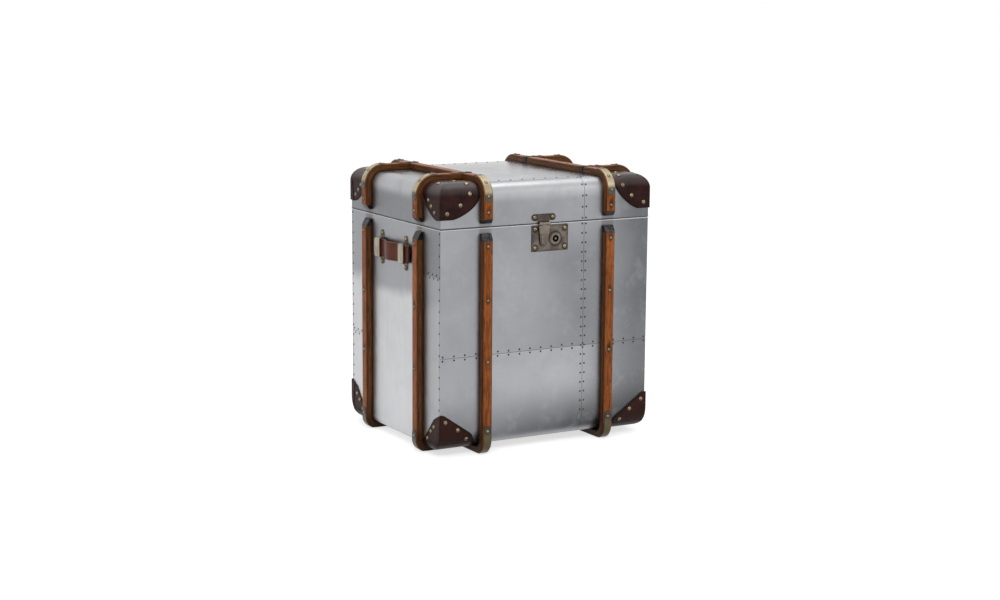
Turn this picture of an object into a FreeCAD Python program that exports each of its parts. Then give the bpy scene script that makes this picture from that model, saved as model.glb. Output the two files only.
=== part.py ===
import FreeCAD
import Part
import math
import os

# Body, measured over its metal skin, in millimetres
BODY_WIDTH = 540.0
BODY_DEPTH = 444.0
SPLIT = 510.0
LID_RISE = 97.0
LID_ROUND = 30.0
BASE_ROUND_FRONT = 46.0
BASE_ROUND_SIDE = 16.0

# Boards, skin and the beds between them
BOARD = 12.0
TOP_BOARD = 9.0
LINING = 1.5
LINING_DROP = 6.0
SKIN = 1.2
GLUE = 0.1
RIM_GAP = 0.3
SKIN_SETBACK = 1.0
SEAM_GAP = 0.8

# Seams between the sheets, as drops below the lid line
FRONT_SEAM_DROP = 285.0
FRONT_SEAM_X = 97.0
SIDE_SEAM_FRONT_DROP = 105.0
SIDE_SEAM_REAR_DROP = 290.0

# Bent hardwood slats and their tapered end caps
SLAT_WIDE = 25.0
SLAT_THICK = 15.0
SLAT_ARRIS = 4.0
SLAT_INSET_FRONT = 111.0
SLAT_INSET_SIDE = 94.0
BASE_BEND_FRONT = 18.0
BASE_BEND_SIDE = 12.0
CASE_SLAT_GAP = 13.0
LID_SLAT_GAP = 9.0
CASE_CAP = 18.0
LID_CAP = 11.0
CAP_TIP = 5.0
CAP_POINT = 4.0

# Brass guards over the bends, and the clips over the slat joints on the lid
GUARD_WIDE = 18.0
GUARD_THICK = 1.2
GUARD_TAIL = 10.0
GUARD_END_ROUND = 8.0
FRONT_FOOT_TAIL = 33.5
SIDE_FOOT_TAIL = 22.0
FOOT_GUARD_LIFT = 0.3
GUARD_NAIL_EDGE = 11.5
TEE_WIDE = 14.0
TEE_THICK = 1.2
TEE_REACH = 24.0
TEE_LEG_LIFT = 3.0
TEE_NAIL_EDGE = 7.0

# Leather corners: gaps to the slats, and outline points as (from the upright edge, from the flat, round)
LEATHER = 2.5
LEATHER_FRONT_GAP = 1.5
LEATHER_SIDE_GAP = 2.5
LID_FRONT_TIP = 10.0
LID_FRONT_OUTLINE = ((29.0, 79.5, 26.0), (9.0, 79.5, 8.0), (0.0, 76.0, 0.0))
LID_FLAP_TIP = 20.0
LID_FLAP_OUTLINE = ((66.0, 48.0, 16.0), (0.0, 76.0, 0.0))
CASE_FRONT_TIP = 4.0
CASE_FRONT_OUTLINE = ((78.0, 36.0, 30.0), (8.0, 84.0, 14.0))
CASE_FLAP_TIP = 12.0
CASE_FLAP_OUTLINE = ((27.0, 71.0, 8.0), (0.0, 84.0, 0.0))
FLAT_FRONT_REACH = 42.0
FLAT_SIDE_REACH = 45.0
FLAT_ROUND = 14.0
FLAP_STEP = 0.9
FLAP_START = (7.0, 16.0)

# Dome nails
NAIL_SIDES = 8
NAIL_CROWN = 0.55
SLAT_NAIL = 7.0
SLAT_NAIL_TALL = 1.8
LEATHER_NAIL = 10.0
LEATHER_NAIL_TALL = 2.4
CASE_FRONT_NAIL_DROPS = (40.5, 161.0, 299.0)
CASE_SIDE_NAIL_DROPS = (40.0, 180.0, 321.0)
LID_NAIL_RISE = 34.0
LID_TOP_NAIL_Y = 48.0
# Leather nails: distance from the upright edge, and along the wrap from the flat face or the flap's fold
LID_FRONT_CORNER_NAILS = ((15.0, 79.5), (48.0, 62.5), (72.0, 38.5), (72.5, 13.0))
LID_FLAP_NAILS = ((25.0, 31.5), (40.5, 19.0), (53.0, 6.0))
LID_BEND_NAILS = ((43.0, 12.5),)
LID_FLAT_CORNER_NAIL = (58.5, 48.5)
CASE_FRONT_CORNER_NAILS = ((12.0, 94.0), (43.0, 74.0), (67.0, 51.0))
CASE_FLAP_NAILS = ((27.0, 37.5), (41.0, 25.5), (57.0, 6.5))

# Lock and hasp, as distances from the body's centre line and drops below the lid line
LOCK_X = 6.3
LOCK_WIDE = 94.4
LOCK_TALL = 59.0
LOCK_DROP = 3.5
LOCK_THICK = 1.5
LOCK_CORNER = 2.0
LOCK_NAIL_EDGE = 8.5
LOCK_BOX_X = (-2.0, 40.0)
LOCK_BOX_DROP = (14.0, 56.0)
LOCK_BOX_WALL = 1.5
PLUG_X = 19.9
PLUG_DROP = 34.8
PLUG_RADIUS = 9.0
PLUG_GROOVE = (4.2, 7.4)
PLUG_GROOVE_DEEP = 5.0
RING_RADIUS = 16.0
RING_TALL = 1.0
BOSS_RADIUS = 11.5
BOSS_TALL = 2.0
RUN_FIT = 0.05
CAM_RADIUS = 10.0
CAM_THICK = 2.0
CAM_FRONT = 3.0
CAM_PIN_ARM = 4.0
CAM_PIN_RADIUS = 1.2
CAM_PIN_PLAY = 0.6
BOLT_DEPTH = 7.5
BOLT_DROP = 31.0
BOLT_NOSE = 2.0
BOLT_TRAVEL = 8.0
BOLT_THICK = 4.0
BOLT_TALL = 7.0
BOLT_PLAY = 0.1
STAPLE_X = (-8.0, -5.0)
STAPLE_EYE = 2.6
STAPLE_RIM = 1.6
SLOT_WIDE = 8.5
SLOT_DROP = 44.0
SLOT_DEEP = 12.3
HASP_X = -10.2
HASP_PLATE_WIDE = 61.6
HASP_PLATE_TALL = 15.4
HASP_PLATE_RISE = 14.3
HASP_PLATE_THICK = 1.5
HASP_NAIL_X = 23.4
HASP_NECK_WIDE = 28.0
HASP_AXIS_DEPTH = 4.9
HASP_AXIS_RISE = 1.0
HASP_KNUCKLE = 3.2
HASP_PIN = 1.4
HASP_KNUCKLE_WIDE = 12.0
HASP_SIDE_PLAY = 0.3
TONGUE_WIDE_TOP = 28.0
TONGUE_WIDE_TIP = 20.0
TONGUE_DROP = 50.0
TONGUE_THICK = 2.2
TONGUE_DEPTH = 2.6
TONGUE_RIB = 1.2
TONGUE_RIB_EDGE = 2.5
TONGUE_RIB_DROP = 24.0
TONGUE_NUB = 3.6
TONGUE_NUB_RISE = 5.0

# Side handles
HANDLE_PITCH = 119.0
HANDLE_DROP = 71.0
BRACKET_RIVET_PITCH = 63.5
BRACKET_WIDE = 16.0
BRACKET_THICK = 1.5
LOOP_WIDE = 25.0
LOOP_THICK = 2.0
LOOP_REACH = 15.0
LOOP_ROUND = 5.0
LOOP_END_ROUND = 9.0
STRAP_LONG = 174.0
STRAP_TALL = 42.0
STRAP_THICK = 4.0
STRAP_DEPTH = 8.0
STRAP_BOW = 10.0
STRAP_BOW_HALF = 40.0
STRAP_PLAY = 0.3
STRAP_END_ROUND = 12.0

# Back hinges
HINGE_X = 75.0
HINGE_WIDE = 60.0
HINGE_TALL = 28.0
HINGE_LEAF = 1.5
HINGE_KNUCKLE = 4.0
HINGE_PIN = 2.0
HINGE_PLAY = 0.3
HINGE_KNUCKLES = 5

# Values that follow from the driving dimensions
CASE_BOTTOM = SLAT_THICK + GLUE
LID_TOP = SPLIT + LID_RISE
HALF_W = BODY_WIDTH / 2
HALF_D = BODY_DEPTH / 2
CORE = SKIN + GLUE
CORE_W = HALF_W - CORE
CORE_D = HALF_D - CORE
RAIL = max(BASE_ROUND_FRONT, BASE_ROUND_SIDE)
RAIL_TOP = CASE_BOTTOM + RAIL
WALL_TOP = SPLIT - RIM_GAP / 2
SHOULDER_BOTTOM = SPLIT + RIM_GAP / 2
CASE_SKIN_TOP = SPLIT - SKIN_SETBACK
LID_SKIN_BOTTOM = SPLIT + SKIN_SETBACK
SLAT_X = HALF_W - SLAT_INSET_FRONT
SLAT_Y = HALF_D - SLAT_INSET_SIDE
SLAT_FACE = GLUE + SLAT_THICK
GUARD_FACE = SLAT_FACE + GLUE + GUARD_THICK
LEATHER_FACE = GLUE + LEATHER
LEATHER_X = SLAT_INSET_FRONT - SLAT_WIDE / 2 - LEATHER_FRONT_GAP
LEATHER_Y = SLAT_INSET_SIDE - SLAT_WIDE / 2 - LEATHER_SIDE_GAP
TEE_TOP = LID_TOP + SLAT_FACE + GLUE + TEE_THICK
SLOT_X = (LOCK_BOX_X[0] - SLOT_WIDE, LOCK_BOX_X[0])
HINGE_AXIS_Y = HALF_D + HINGE_KNUCKLE + HINGE_PLAY
HINGE_EDGE = HINGE_KNUCKLE + 1.0
OVER = 1.0
MEET = 1e-5


def vec(x, y, z):
    return FreeCAD.Vector(x, y, z)


def spread(middle, wide):
    return (middle - wide / 2, middle + wide / 2)


def block(x, y, z):
    """Box between a low and a high value on each axis."""
    return Part.makeBox(x[1] - x[0], y[1] - y[0], z[1] - z[0], vec(x[0], y[0], z[0]))


def polygon(points):
    return Part.Face(Part.makePolygon(points + points[:1]))


def on_side(side, along, depth, z):
    """Point beside a face of the body: along it, out from it, and up."""
    if side == "front":
        return vec(along, -HALF_D - depth, z)
    if side == "back":
        return vec(along, HALF_D + depth, z)
    if side == "left":
        return vec(-HALF_W - depth, along, z)
    return vec(HALF_W + depth, along, z)


def outward(side, depth, z):
    """Direction beside a face, from its outward and upward shares."""
    return on_side(side, 0, depth, z) - on_side(side, 0, 0, 0)


def side_block(side, along, depth, z):
    a = on_side(side, along[0], depth[0], z[0])
    b = on_side(side, along[1], depth[1], z[1])
    x = sorted((a.x, b.x))
    y = sorted((a.y, b.y))
    return block(x, y, sorted(z))


def side_prism(side, outline, along):
    """Outline of (depth, z) points carried along a face."""
    face = polygon([on_side(side, along[0], depth, z) for depth, z in outline])
    return face.extrude(on_side(side, along[1], 0, 0) - on_side(side, along[0], 0, 0))


def side_rod(side, along, z, radius, depth):
    """Round bar square to a face, between two depths."""
    start = on_side(side, along, depth[0], z)
    return Part.makeCylinder(radius, depth[1] - depth[0], start, outward(side, 1, 0))


def one(shape):
    """The single solid of a boolean result, with its split faces joined."""
    return shape.removeSplitter().Solids[0]


def with_mirror(solid, normal):
    """A solid and its reflection in a plane through the body's middle."""
    return [solid, solid.mirror(vec(0, 0, 0), normal)]


def rounded_face(points, place):
    """Flat face inside an outline of (u, v, round) points, with an arc at each rounded corner."""
    corners = []
    for index, (u, v, bend) in enumerate(points):
        here = place(u, v)
        if bend == 0:
            corners.append((here, here, here))
            continue
        before = (place(*points[index - 1][:2]) - here).normalize()
        after = (place(*points[(index + 1) % len(points)][:2]) - here).normalize()
        cosine = before.dot(after)
        run = bend * math.sqrt((1 + cosine) / (1 - cosine))
        lean = bend * math.sqrt(2 / (1 - cosine)) - bend
        corners.append((here + before * run, here + (before + after).normalize() * lean, here + after * run))
    edges = []
    for index, (first, middle, last) in enumerate(corners):
        if points[index][2] > 0:
            edges.append(Part.Arc(first, middle, last).toShape())
        edges.append(Part.LineSegment(last, corners[(index + 1) % len(points)][0]).toShape())
    return Part.Face(Part.Wire(edges))


def section(axis, half, low, high, low_round, high_round):
    """Upright section of a body: a rectangle whose lower or upper corners are rounded."""

    def place(u, z):
        return vec(0, u, z) if axis == "x" else vec(u, 0, z)

    corners = [(-half, low, low_round), (-half, high, high_round)]
    corners += [(half, high, high_round), (half, low, low_round)]
    return rounded_face(corners, place)


def prism(axis, span, half, low, high, low_round, high_round):
    """Section carried along X or Y over a span."""
    way = vec(1, 0, 0) if axis == "x" else vec(0, 1, 0)
    face = section(axis, half, low, high, low_round, high_round)
    return face.translated(way * span[0]).extrude(way * (span[1] - span[0]))


def case_form(grow, top):
    """Outer form of the case, grown outwards: rounded lower edges and sharp upright edges."""
    low = CASE_BOTTOM - grow
    wide = HALF_W + grow
    deep = HALF_D + grow
    across = prism("y", (-deep - OVER, deep + OVER), wide, low, top, BASE_ROUND_SIDE + grow, 0)
    along = prism("x", (-wide - OVER, wide + OVER), deep, low, top, BASE_ROUND_FRONT + grow, 0)
    return across.common((along,), MEET)


def lid_form(grow, bottom):
    """Outer form of the lid, grown outwards: rounded upper edges and sharp upright edges."""
    high = LID_TOP + grow
    wide = HALF_W + grow
    deep = HALF_D + grow
    across = prism("y", (-deep - OVER, deep + OVER), wide, bottom, high, 0, LID_ROUND + grow)
    along = prism("x", (-wide - OVER, wide + OVER), deep, bottom, high, 0, LID_ROUND + grow)
    return across.common((along,), MEET)


def wrap_length(end, bend):
    """Distance along a face from the lid line to where its bend meets the flat."""
    return abs(end - SPLIT) - bend + bend * math.pi / 2


def wrap_point(side, end, bend, along, run, depth):
    """Point and outward direction after a run from the lid line, over the bend and along the flat."""
    way = 1 if end > SPLIT else -1
    straight = abs(end - SPLIT) - bend
    angle = min(max(run - straight, 0) / bend, math.pi / 2)
    past = max(run - wrap_length(end, bend), 0)
    out = (bend + depth) * math.cos(angle) - bend - past
    if run <= straight:
        z = SPLIT + way * run
    else:
        z = end - way * bend + way * (bend + depth) * math.sin(angle)
    return on_side(side, along, out, z), outward(side, math.cos(angle), way * math.sin(angle))


def nail(place, wide, tall):
    """Low many-sided dome head standing on a surface."""
    point, normal = place
    across = vec(1, 0, 0) if abs(normal.x) < 0.5 else vec(0, 1, 0)
    across = (across - normal * across.dot(normal)).normalize()
    other = normal.cross(across)

    def ring(radius, lift):
        turns = [2 * math.pi * (k + 0.5) / NAIL_SIDES for k in range(NAIL_SIDES)]
        centre = point + normal * lift
        return [centre + across * (radius * math.cos(t)) + other * (radius * math.sin(t)) for t in turns]

    base = ring(wide / 2, 0)
    crown = ring(wide / 2 * NAIL_CROWN, tall)
    faces = [polygon(base), polygon(crown)]
    for k in range(NAIL_SIDES):
        after = (k + 1) % NAIL_SIDES
        faces.append(polygon([base[k], base[after], crown[after], crown[k]]))
    head = Part.Solid(Part.Shell(faces))
    if head.Volume < 0:
        head.reverse()
    return head


def case_boards():
    """Walls standing on base rails, with a base board between the rails."""
    rail_low = CASE_BOTTOM + CORE
    core = case_form(-CORE, WALL_TOP)
    upright = (RAIL_TOP, WALL_TOP)
    front = block((-CORE_W, CORE_W), (-CORE_D, BOARD - CORE_D), upright)
    back = block((-CORE_W, CORE_W), (CORE_D - BOARD, CORE_D), upright)
    between = (BOARD - CORE_D, CORE_D - BOARD)
    left = block((-CORE_W, BOARD - CORE_W), between, upright)
    right = block((CORE_W - BOARD, CORE_W), between, upright)
    mortise = side_block("front", LOCK_BOX_X, (-CORE - BOARD, -CORE), [SPLIT - d for d in LOCK_BOX_DROP])
    groove = side_block("front", SLOT_X, (-SLOT_DEEP, 0), (SPLIT - SLOT_DROP, SPLIT))
    rail_z = (rail_low, RAIL_TOP)
    inside_x = (RAIL - HALF_W, HALF_W - RAIL)
    inside_y = (RAIL - HALF_D, HALF_D - RAIL)
    side_rail = (inside_y[0] + GLUE, inside_y[1] - GLUE)
    rails = [
        core.common(block((-CORE_W, CORE_W), (-CORE_D, inside_y[0]), rail_z)),
        core.common(block((-CORE_W, CORE_W), (inside_y[1], CORE_D), rail_z)),
        core.common(block((-CORE_W, inside_x[0]), side_rail, rail_z)),
        core.common(block((inside_x[1], CORE_W), side_rail, rail_z)),
    ]
    return {
        "case_front_wall": [one(front.cut(mortise).cut(groove))],
        "case_back_wall": [back],
        "case_left_wall": [left],
        "case_right_wall": [right],
        "case_base_rails": [one(rail) for rail in rails],
        "case_base_board": [block(inside_x, inside_y, (rail_low, rail_low + BOARD))],
    }


def case_lining():
    """Thin cloth-covered panels on the inner faces of the walls and on the base board."""
    wide = CORE_W - BOARD
    deep = CORE_D - BOARD
    upright = (RAIL_TOP, WALL_TOP - LINING_DROP)
    between = (LINING - deep, deep - LINING)
    floor = CASE_BOTTOM + CORE + BOARD
    panels = [
        block((-wide, wide), (-deep, LINING - deep), upright),
        block((-wide, wide), (deep - LINING, deep), upright),
        block((-wide, LINING - wide), between, upright),
        block((wide - LINING, wide), between, upright),
        block((RAIL - HALF_W, HALF_W - RAIL), (RAIL - HALF_D, HALF_D - RAIL), (floor, floor + LINING)),
    ]
    return {"case_lining": panels}


def seam(low, high, ends):
    """Span of a sheet whose ends at a seam are set back by half the seam's gap."""
    return (low + ends[0] * SEAM_GAP / 2, high - ends[1] * SEAM_GAP / 2)


def case_sheets():
    """Metal sheets over the case: each wraps from its wall over the lower edge onto the rail."""
    skin = case_form(0, CASE_SKIN_TOP).cut(case_form(-SKIN, CASE_SKIN_TOP + OVER))
    low = CASE_BOTTOM - OVER
    inside_y = seam(RAIL - HALF_D, HALF_D - RAIL, (1, 1))

    def sheet(side, along, z, lower_along, knee):
        tool = side_block(side, along, (-SKIN, OVER), (max(z[0], knee), z[1]))
        if z[0] < knee:
            tool = tool.fuse(side_block(side, lower_along, (-RAIL, OVER), (z[0], knee)))
        return one(skin.common(tool))

    def face_sheet(side, along, z):
        return sheet(side, along, z, along, RAIL_TOP)

    def flank_sheet(side, along, z):
        inner = (max(along[0], inside_y[0]), min(along[1], inside_y[1]))
        return sheet(side, along, z, inner, RAIL_TOP + SEAM_GAP)

    seam_z = SPLIT - FRONT_SEAM_DROP
    upper = seam(seam_z, CASE_SKIN_TOP, (1, 0))
    lower = seam(low, seam_z, (0, 1))
    left_half = seam(-HALF_W, FRONT_SEAM_X, (0, 1))
    right_half = seam(FRONT_SEAM_X, HALF_W, (1, 0))
    upper_left = face_sheet("front", left_half, upper)
    slot = side_block("front", SLOT_X, (-SLOT_DEEP, OVER), (SPLIT - SLOT_DROP, SPLIT))
    keyhole = side_rod("front", PLUG_X, SPLIT - PLUG_DROP, PLUG_RADIUS + HASP_SIDE_PLAY, (-SLOT_DEEP, OVER))
    edge = HALF_D - SKIN
    strips = (seam(-edge, -SLAT_Y, (1, 1)), seam(-SLAT_Y, SLAT_Y, (1, 1)), seam(SLAT_Y, edge, (1, 1)))
    front_z = SPLIT - SIDE_SEAM_FRONT_DROP
    rear_z = SPLIT - SIDE_SEAM_REAR_DROP

    def flank(side):
        return [
            flank_sheet(side, strips[0], seam(front_z, CASE_SKIN_TOP, (1, 0))),
            flank_sheet(side, strips[0], seam(low, front_z, (0, 1))),
            flank_sheet(side, strips[1], (low, CASE_SKIN_TOP)),
            flank_sheet(side, strips[2], seam(rear_z, CASE_SKIN_TOP, (1, 0))),
            flank_sheet(side, strips[2], seam(low, rear_z, (0, 1))),
        ]

    back_half = face_sheet("back", seam(0, HALF_W, (1, 0)), (low, CASE_SKIN_TOP))
    return {
        "front_sheet_upper_left": [one(upper_left.cut(slot).cut(keyhole))],
        "front_sheet_upper_right": [face_sheet("front", right_half, upper)],
        "front_sheet_lower_left": [face_sheet("front", left_half, lower)],
        "front_sheet_lower_right": [face_sheet("front", right_half, lower)],
        "left_side_sheets": flank("left"),
        "right_side_sheets": flank("right"),
        "back_sheets": with_mirror(back_half, vec(1, 0, 0)),
    }


def lid_boards():
    """Shoulders with a thin skirt below and a rounded block above, and a top board between them."""
    core = lid_form(-CORE, SHOULDER_BOTTOM)
    spring = LID_TOP - LID_ROUND
    skirt_z = (SHOULDER_BOTTOM, spring)
    block_z = (spring, LID_TOP)
    inside_x = (LID_ROUND - HALF_W, HALF_W - LID_ROUND)
    inside_y = (LID_ROUND - HALF_D, HALF_D - LID_ROUND)
    between = (BOARD - CORE_D, CORE_D - BOARD)
    full = (-CORE_W, CORE_W)

    def shoulder(side, skirt_along, block_along):
        skirt = side_block(side, skirt_along, (-CORE - BOARD, -CORE), skirt_z)
        head = side_block(side, block_along, (-LID_ROUND, -CORE), block_z)
        return [one(core.common(skirt.fuse(head)))]

    top = LID_TOP - CORE
    return {
        "lid_front_shoulder": shoulder("front", full, full),
        "lid_back_shoulder": shoulder("back", full, full),
        "lid_left_shoulder": shoulder("left", between, inside_y),
        "lid_right_shoulder": shoulder("right", between, inside_y),
        "lid_top_board": [block(inside_x, inside_y, (top - TOP_BOARD, top))],
    }


def lid_sheets():
    """Metal sheets over the lid: front, back and sides wrap over the rounded edge to the top sheet."""
    skin = lid_form(0, LID_SKIN_BOTTOM).cut(lid_form(-SKIN, LID_SKIN_BOTTOM - OVER))
    spring = LID_TOP - LID_ROUND
    upright = (LID_SKIN_BOTTOM, spring)
    crown = (spring, LID_TOP + OVER)
    edge = HALF_D - SKIN
    lap_x = HALF_W - SLAT_X
    inside_y = seam(LID_ROUND - HALF_D, HALF_D - LID_ROUND, (1, 1))

    def wrapped(side, along, crown_along, crown_deep):
        tool = side_block(side, along, (-SKIN, OVER), upright)
        tool = tool.fuse(side_block(side, crown_along, (-crown_deep, OVER), crown))
        return [one(skin.common(tool))]

    left_half = seam(-HALF_W, FRONT_SEAM_X, (0, 1))
    right_half = seam(FRONT_SEAM_X, HALF_W, (1, 0))
    flank = seam(-edge, edge, (1, 1))
    flank_deep = lap_x - SEAM_GAP / 2
    top = block(seam(-SLAT_X, SLAT_X, (1, 1)), inside_y, crown)
    return {
        "lid_front_sheet_left": wrapped("front", left_half, left_half, LID_ROUND),
        "lid_front_sheet_right": wrapped("front", right_half, right_half, LID_ROUND),
        "lid_back_sheet": wrapped("back", (-HALF_W, HALF_W), (-HALF_W, HALF_W), LID_ROUND),
        "lid_left_sheet": wrapped("left", flank, inside_y, flank_deep),
        "lid_right_sheet": wrapped("right", flank, inside_y, flank_deep),
        "lid_top_sheet": [one(skin.common(top))],
    }


def bent_slat(axis, middle, half, low, high, low_round, high_round):
    """Slat bent round a section of the body, with its outer arrises eased."""
    rise = 1 if high_round else 0
    fall = 1 if low_round else 0

    def around(grow, over):
        return prism(
            axis,
            spread(middle, SLAT_WIDE + 2 * over),
            half + grow,
            low - fall * grow - (1 - fall) * over,
            high + rise * grow + (1 - rise) * over,
            low_round + fall * grow,
            high_round + rise * grow,
        )

    inner = around(0, OVER)
    slat = around(SLAT_THICK, 0).cut(inner)
    edges = []
    for edge in slat.Edges:
        middle_point = edge.valueAt((edge.FirstParameter + edge.LastParameter) / 2)
        across = edge.BoundBox.XLength if axis == "x" else edge.BoundBox.YLength
        outer = Part.Vertex(middle_point).distToShape(inner)[0] > 0.99 * SLAT_THICK
        if outer and across < OVER:
            edges.append(edge)
    return slat.makeFillet(SLAT_ARRIS, edges).Solids[0]


def slat_ends(slat, ends, base, tip):
    """A slat cut back at its ends, and the dark caps that end it: pointed at the wood, thin at the tip."""
    way = 1 if tip > base else -1
    half = SLAT_WIDE / 2
    caps = []
    for side, along in ends:
        outline = [(-half, base), (0, base - way * CAP_POINT), (half, base), (half, tip), (-half, tip)]
        face = polygon([on_side(side, along + across, 0, z) for across, z in outline])
        zone = face.extrude(outward(side, SLAT_FACE + OVER, 0))
        profile = [(0, base - way * CAP_POINT), (SLAT_FACE, base - way * CAP_POINT), (SLAT_FACE, base)]
        profile += [(GLUE + CAP_TIP, tip), (0, tip)]
        caps.append(one(slat.common(zone).common(side_prism(side, profile, spread(along, SLAT_WIDE)))))
        slat = slat.cut(zone)
    return one(slat), caps


def side_half(hoop, side, y, z):
    """The part of a side-to-side hoop on one side, up to the slat that it butts on."""
    reach = (SLAT_X + SLAT_WIDE / 2 - HALF_W, SLAT_FACE + OVER)
    return one(hoop.common(side_block(side, spread(y, SLAT_WIDE + OVER), reach, z)))


def each_slat():
    """Every place where a slat climbs a face of the body: side and position along it."""
    places = [(side, x) for side in ("front", "back") for x in (-SLAT_X, SLAT_X)]
    return places + [(side, y) for side in ("left", "right") for y in (-SLAT_Y, SLAT_Y)]


def case_slats():
    """Slats bent under the base front to back, and side slats that bend under it and butt on them."""
    tip = SPLIT - CASE_SLAT_GAP
    base = tip - CASE_CAP
    low = CASE_BOTTOM - GLUE
    nodes = {}
    caps = []
    for name, x in (("left", -SLAT_X), ("right", SLAT_X)):
        slat = bent_slat("x", x, HALF_D + GLUE, low, tip, BASE_BEND_FRONT, 0)
        wood, ends = slat_ends(slat, (("front", x), ("back", x)), base, tip)
        nodes["case_slat_" + name] = [wood]
        caps += ends
    for name, y in (("front", -SLAT_Y), ("rear", SLAT_Y)):
        hoop = bent_slat("y", y, HALF_W + GLUE, low, tip, BASE_BEND_SIDE, 0)
        nodes["foot_slat_" + name] = []
        for side in ("left", "right"):
            hook = side_half(hoop, side, y, (-OVER, SPLIT))
            wood, ends = slat_ends(hook, ((side, y),), base, tip)
            nodes["foot_slat_" + name].append(wood)
            caps += ends
    nodes["case_slat_caps"] = caps
    return nodes


def lid_slats():
    """Slats bent over the lid front to back, and side slats that butt on them."""
    tip = SPLIT + LID_SLAT_GAP
    base = tip + LID_CAP
    high = LID_TOP + GLUE
    bend = LID_ROUND + GLUE
    nodes = {}
    caps = []
    for name, x in (("left", -SLAT_X), ("right", SLAT_X)):
        slat = bent_slat("x", x, HALF_D + GLUE, tip, high, 0, bend)
        wood, ends = slat_ends(slat, (("front", x), ("back", x)), base, tip)
        nodes["lid_slat_" + name] = [wood]
        caps += ends
    for place, y in (("front", -SLAT_Y), ("rear", SLAT_Y)):
        hoop = bent_slat("y", y, HALF_W + GLUE, tip, high, 0, bend)
        for side in ("left", "right"):
            hook = side_half(hoop, side, y, (SPLIT, LID_TOP + 2 * SLAT_FACE))
            wood, ends = slat_ends(hook, ((side, y),), base, tip)
            nodes["lid_side_slat_" + side + "_" + place] = [wood]
            caps += ends
    nodes["lid_slat_caps"] = caps
    return nodes


def bend_guard(side, along, end, bend, tail, under):
    """Brass strip over a slat's bend, with a rounded tail on each straight run that it reaches."""
    axis = "x" if side in ("front", "back") else "y"
    half = (HALF_D if axis == "x" else HALF_W) + GLUE
    way = 1 if end > SPLIT else -1
    span = spread(along, GUARD_WIDE)

    def around(grow):
        low = SPLIT if way > 0 else end - grow
        high = end + grow if way > 0 else SPLIT
        rounds = (0, bend + grow) if way > 0 else (bend + grow, 0)
        return prism(axis, span, half + grow, low, high, *rounds)

    strip = around(SLAT_THICK + GLUE + GUARD_THICK).cut(around(SLAT_THICK + GLUE))
    spring = end - way * bend
    far = end + way * (SLAT_THICK + GUARD_FACE) if under is None else under
    tip = spring - way * tail
    depths = (-(bend + GUARD_TAIL), GUARD_FACE + OVER)
    guard = one(strip.common(side_block(side, span, depths, (tip, far))))
    ends = []
    for edge in guard.Edges:
        if edge.Length > 1.5 * GUARD_THICK:
            continue
        at_tail = abs(edge.CenterOfMass.z - tip) < GUARD_THICK
        at_flat = under is None and not at_tail
        if at_tail or at_flat:
            ends.append(edge)
    return guard.makeFillet(GUARD_END_ROUND, ends).Solids[0]


def guards():
    """Brass guards on every bend of the slats."""
    case = []
    lid = []
    for side, along in each_slat():
        lid.append(bend_guard(side, along, LID_TOP + GLUE, LID_ROUND + GLUE, GUARD_TAIL, None))
        facing = side in ("front", "back")
        bend = BASE_BEND_FRONT if facing else BASE_BEND_SIDE
        tail = FRONT_FOOT_TAIL if facing else SIDE_FOOT_TAIL
        case.append(bend_guard(side, along, CASE_BOTTOM - GLUE, bend, tail, FOOT_GUARD_LIFT))
    return {"case_bend_guards": case, "lid_bend_guards": lid}


def tee_clips():
    """Dark clips over the joints of the lid's slats, each with a leg down the long slat's inner face."""
    clips = []
    top = (LID_TOP + SLAT_FACE + GLUE, TEE_TOP)
    outer = HALF_W - SLAT_X - SLAT_WIDE / 2
    inner = HALF_W - SLAT_X + SLAT_WIDE / 2 + GLUE
    for side in ("left", "right"):
        for y in (-SLAT_Y, SLAT_Y):
            along = spread(y, TEE_WIDE)
            plate = side_block(side, along, (-inner - TEE_THICK, TEE_REACH - outer), top)
            leg_z = (LID_TOP + TEE_LEG_LIFT, TEE_TOP)
            leg = side_block(side, along, (-inner - TEE_THICK, -inner), leg_z)
            clips.append(one(plate.fuse(leg)))
    return {"lid_tee_clips": clips}


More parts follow.
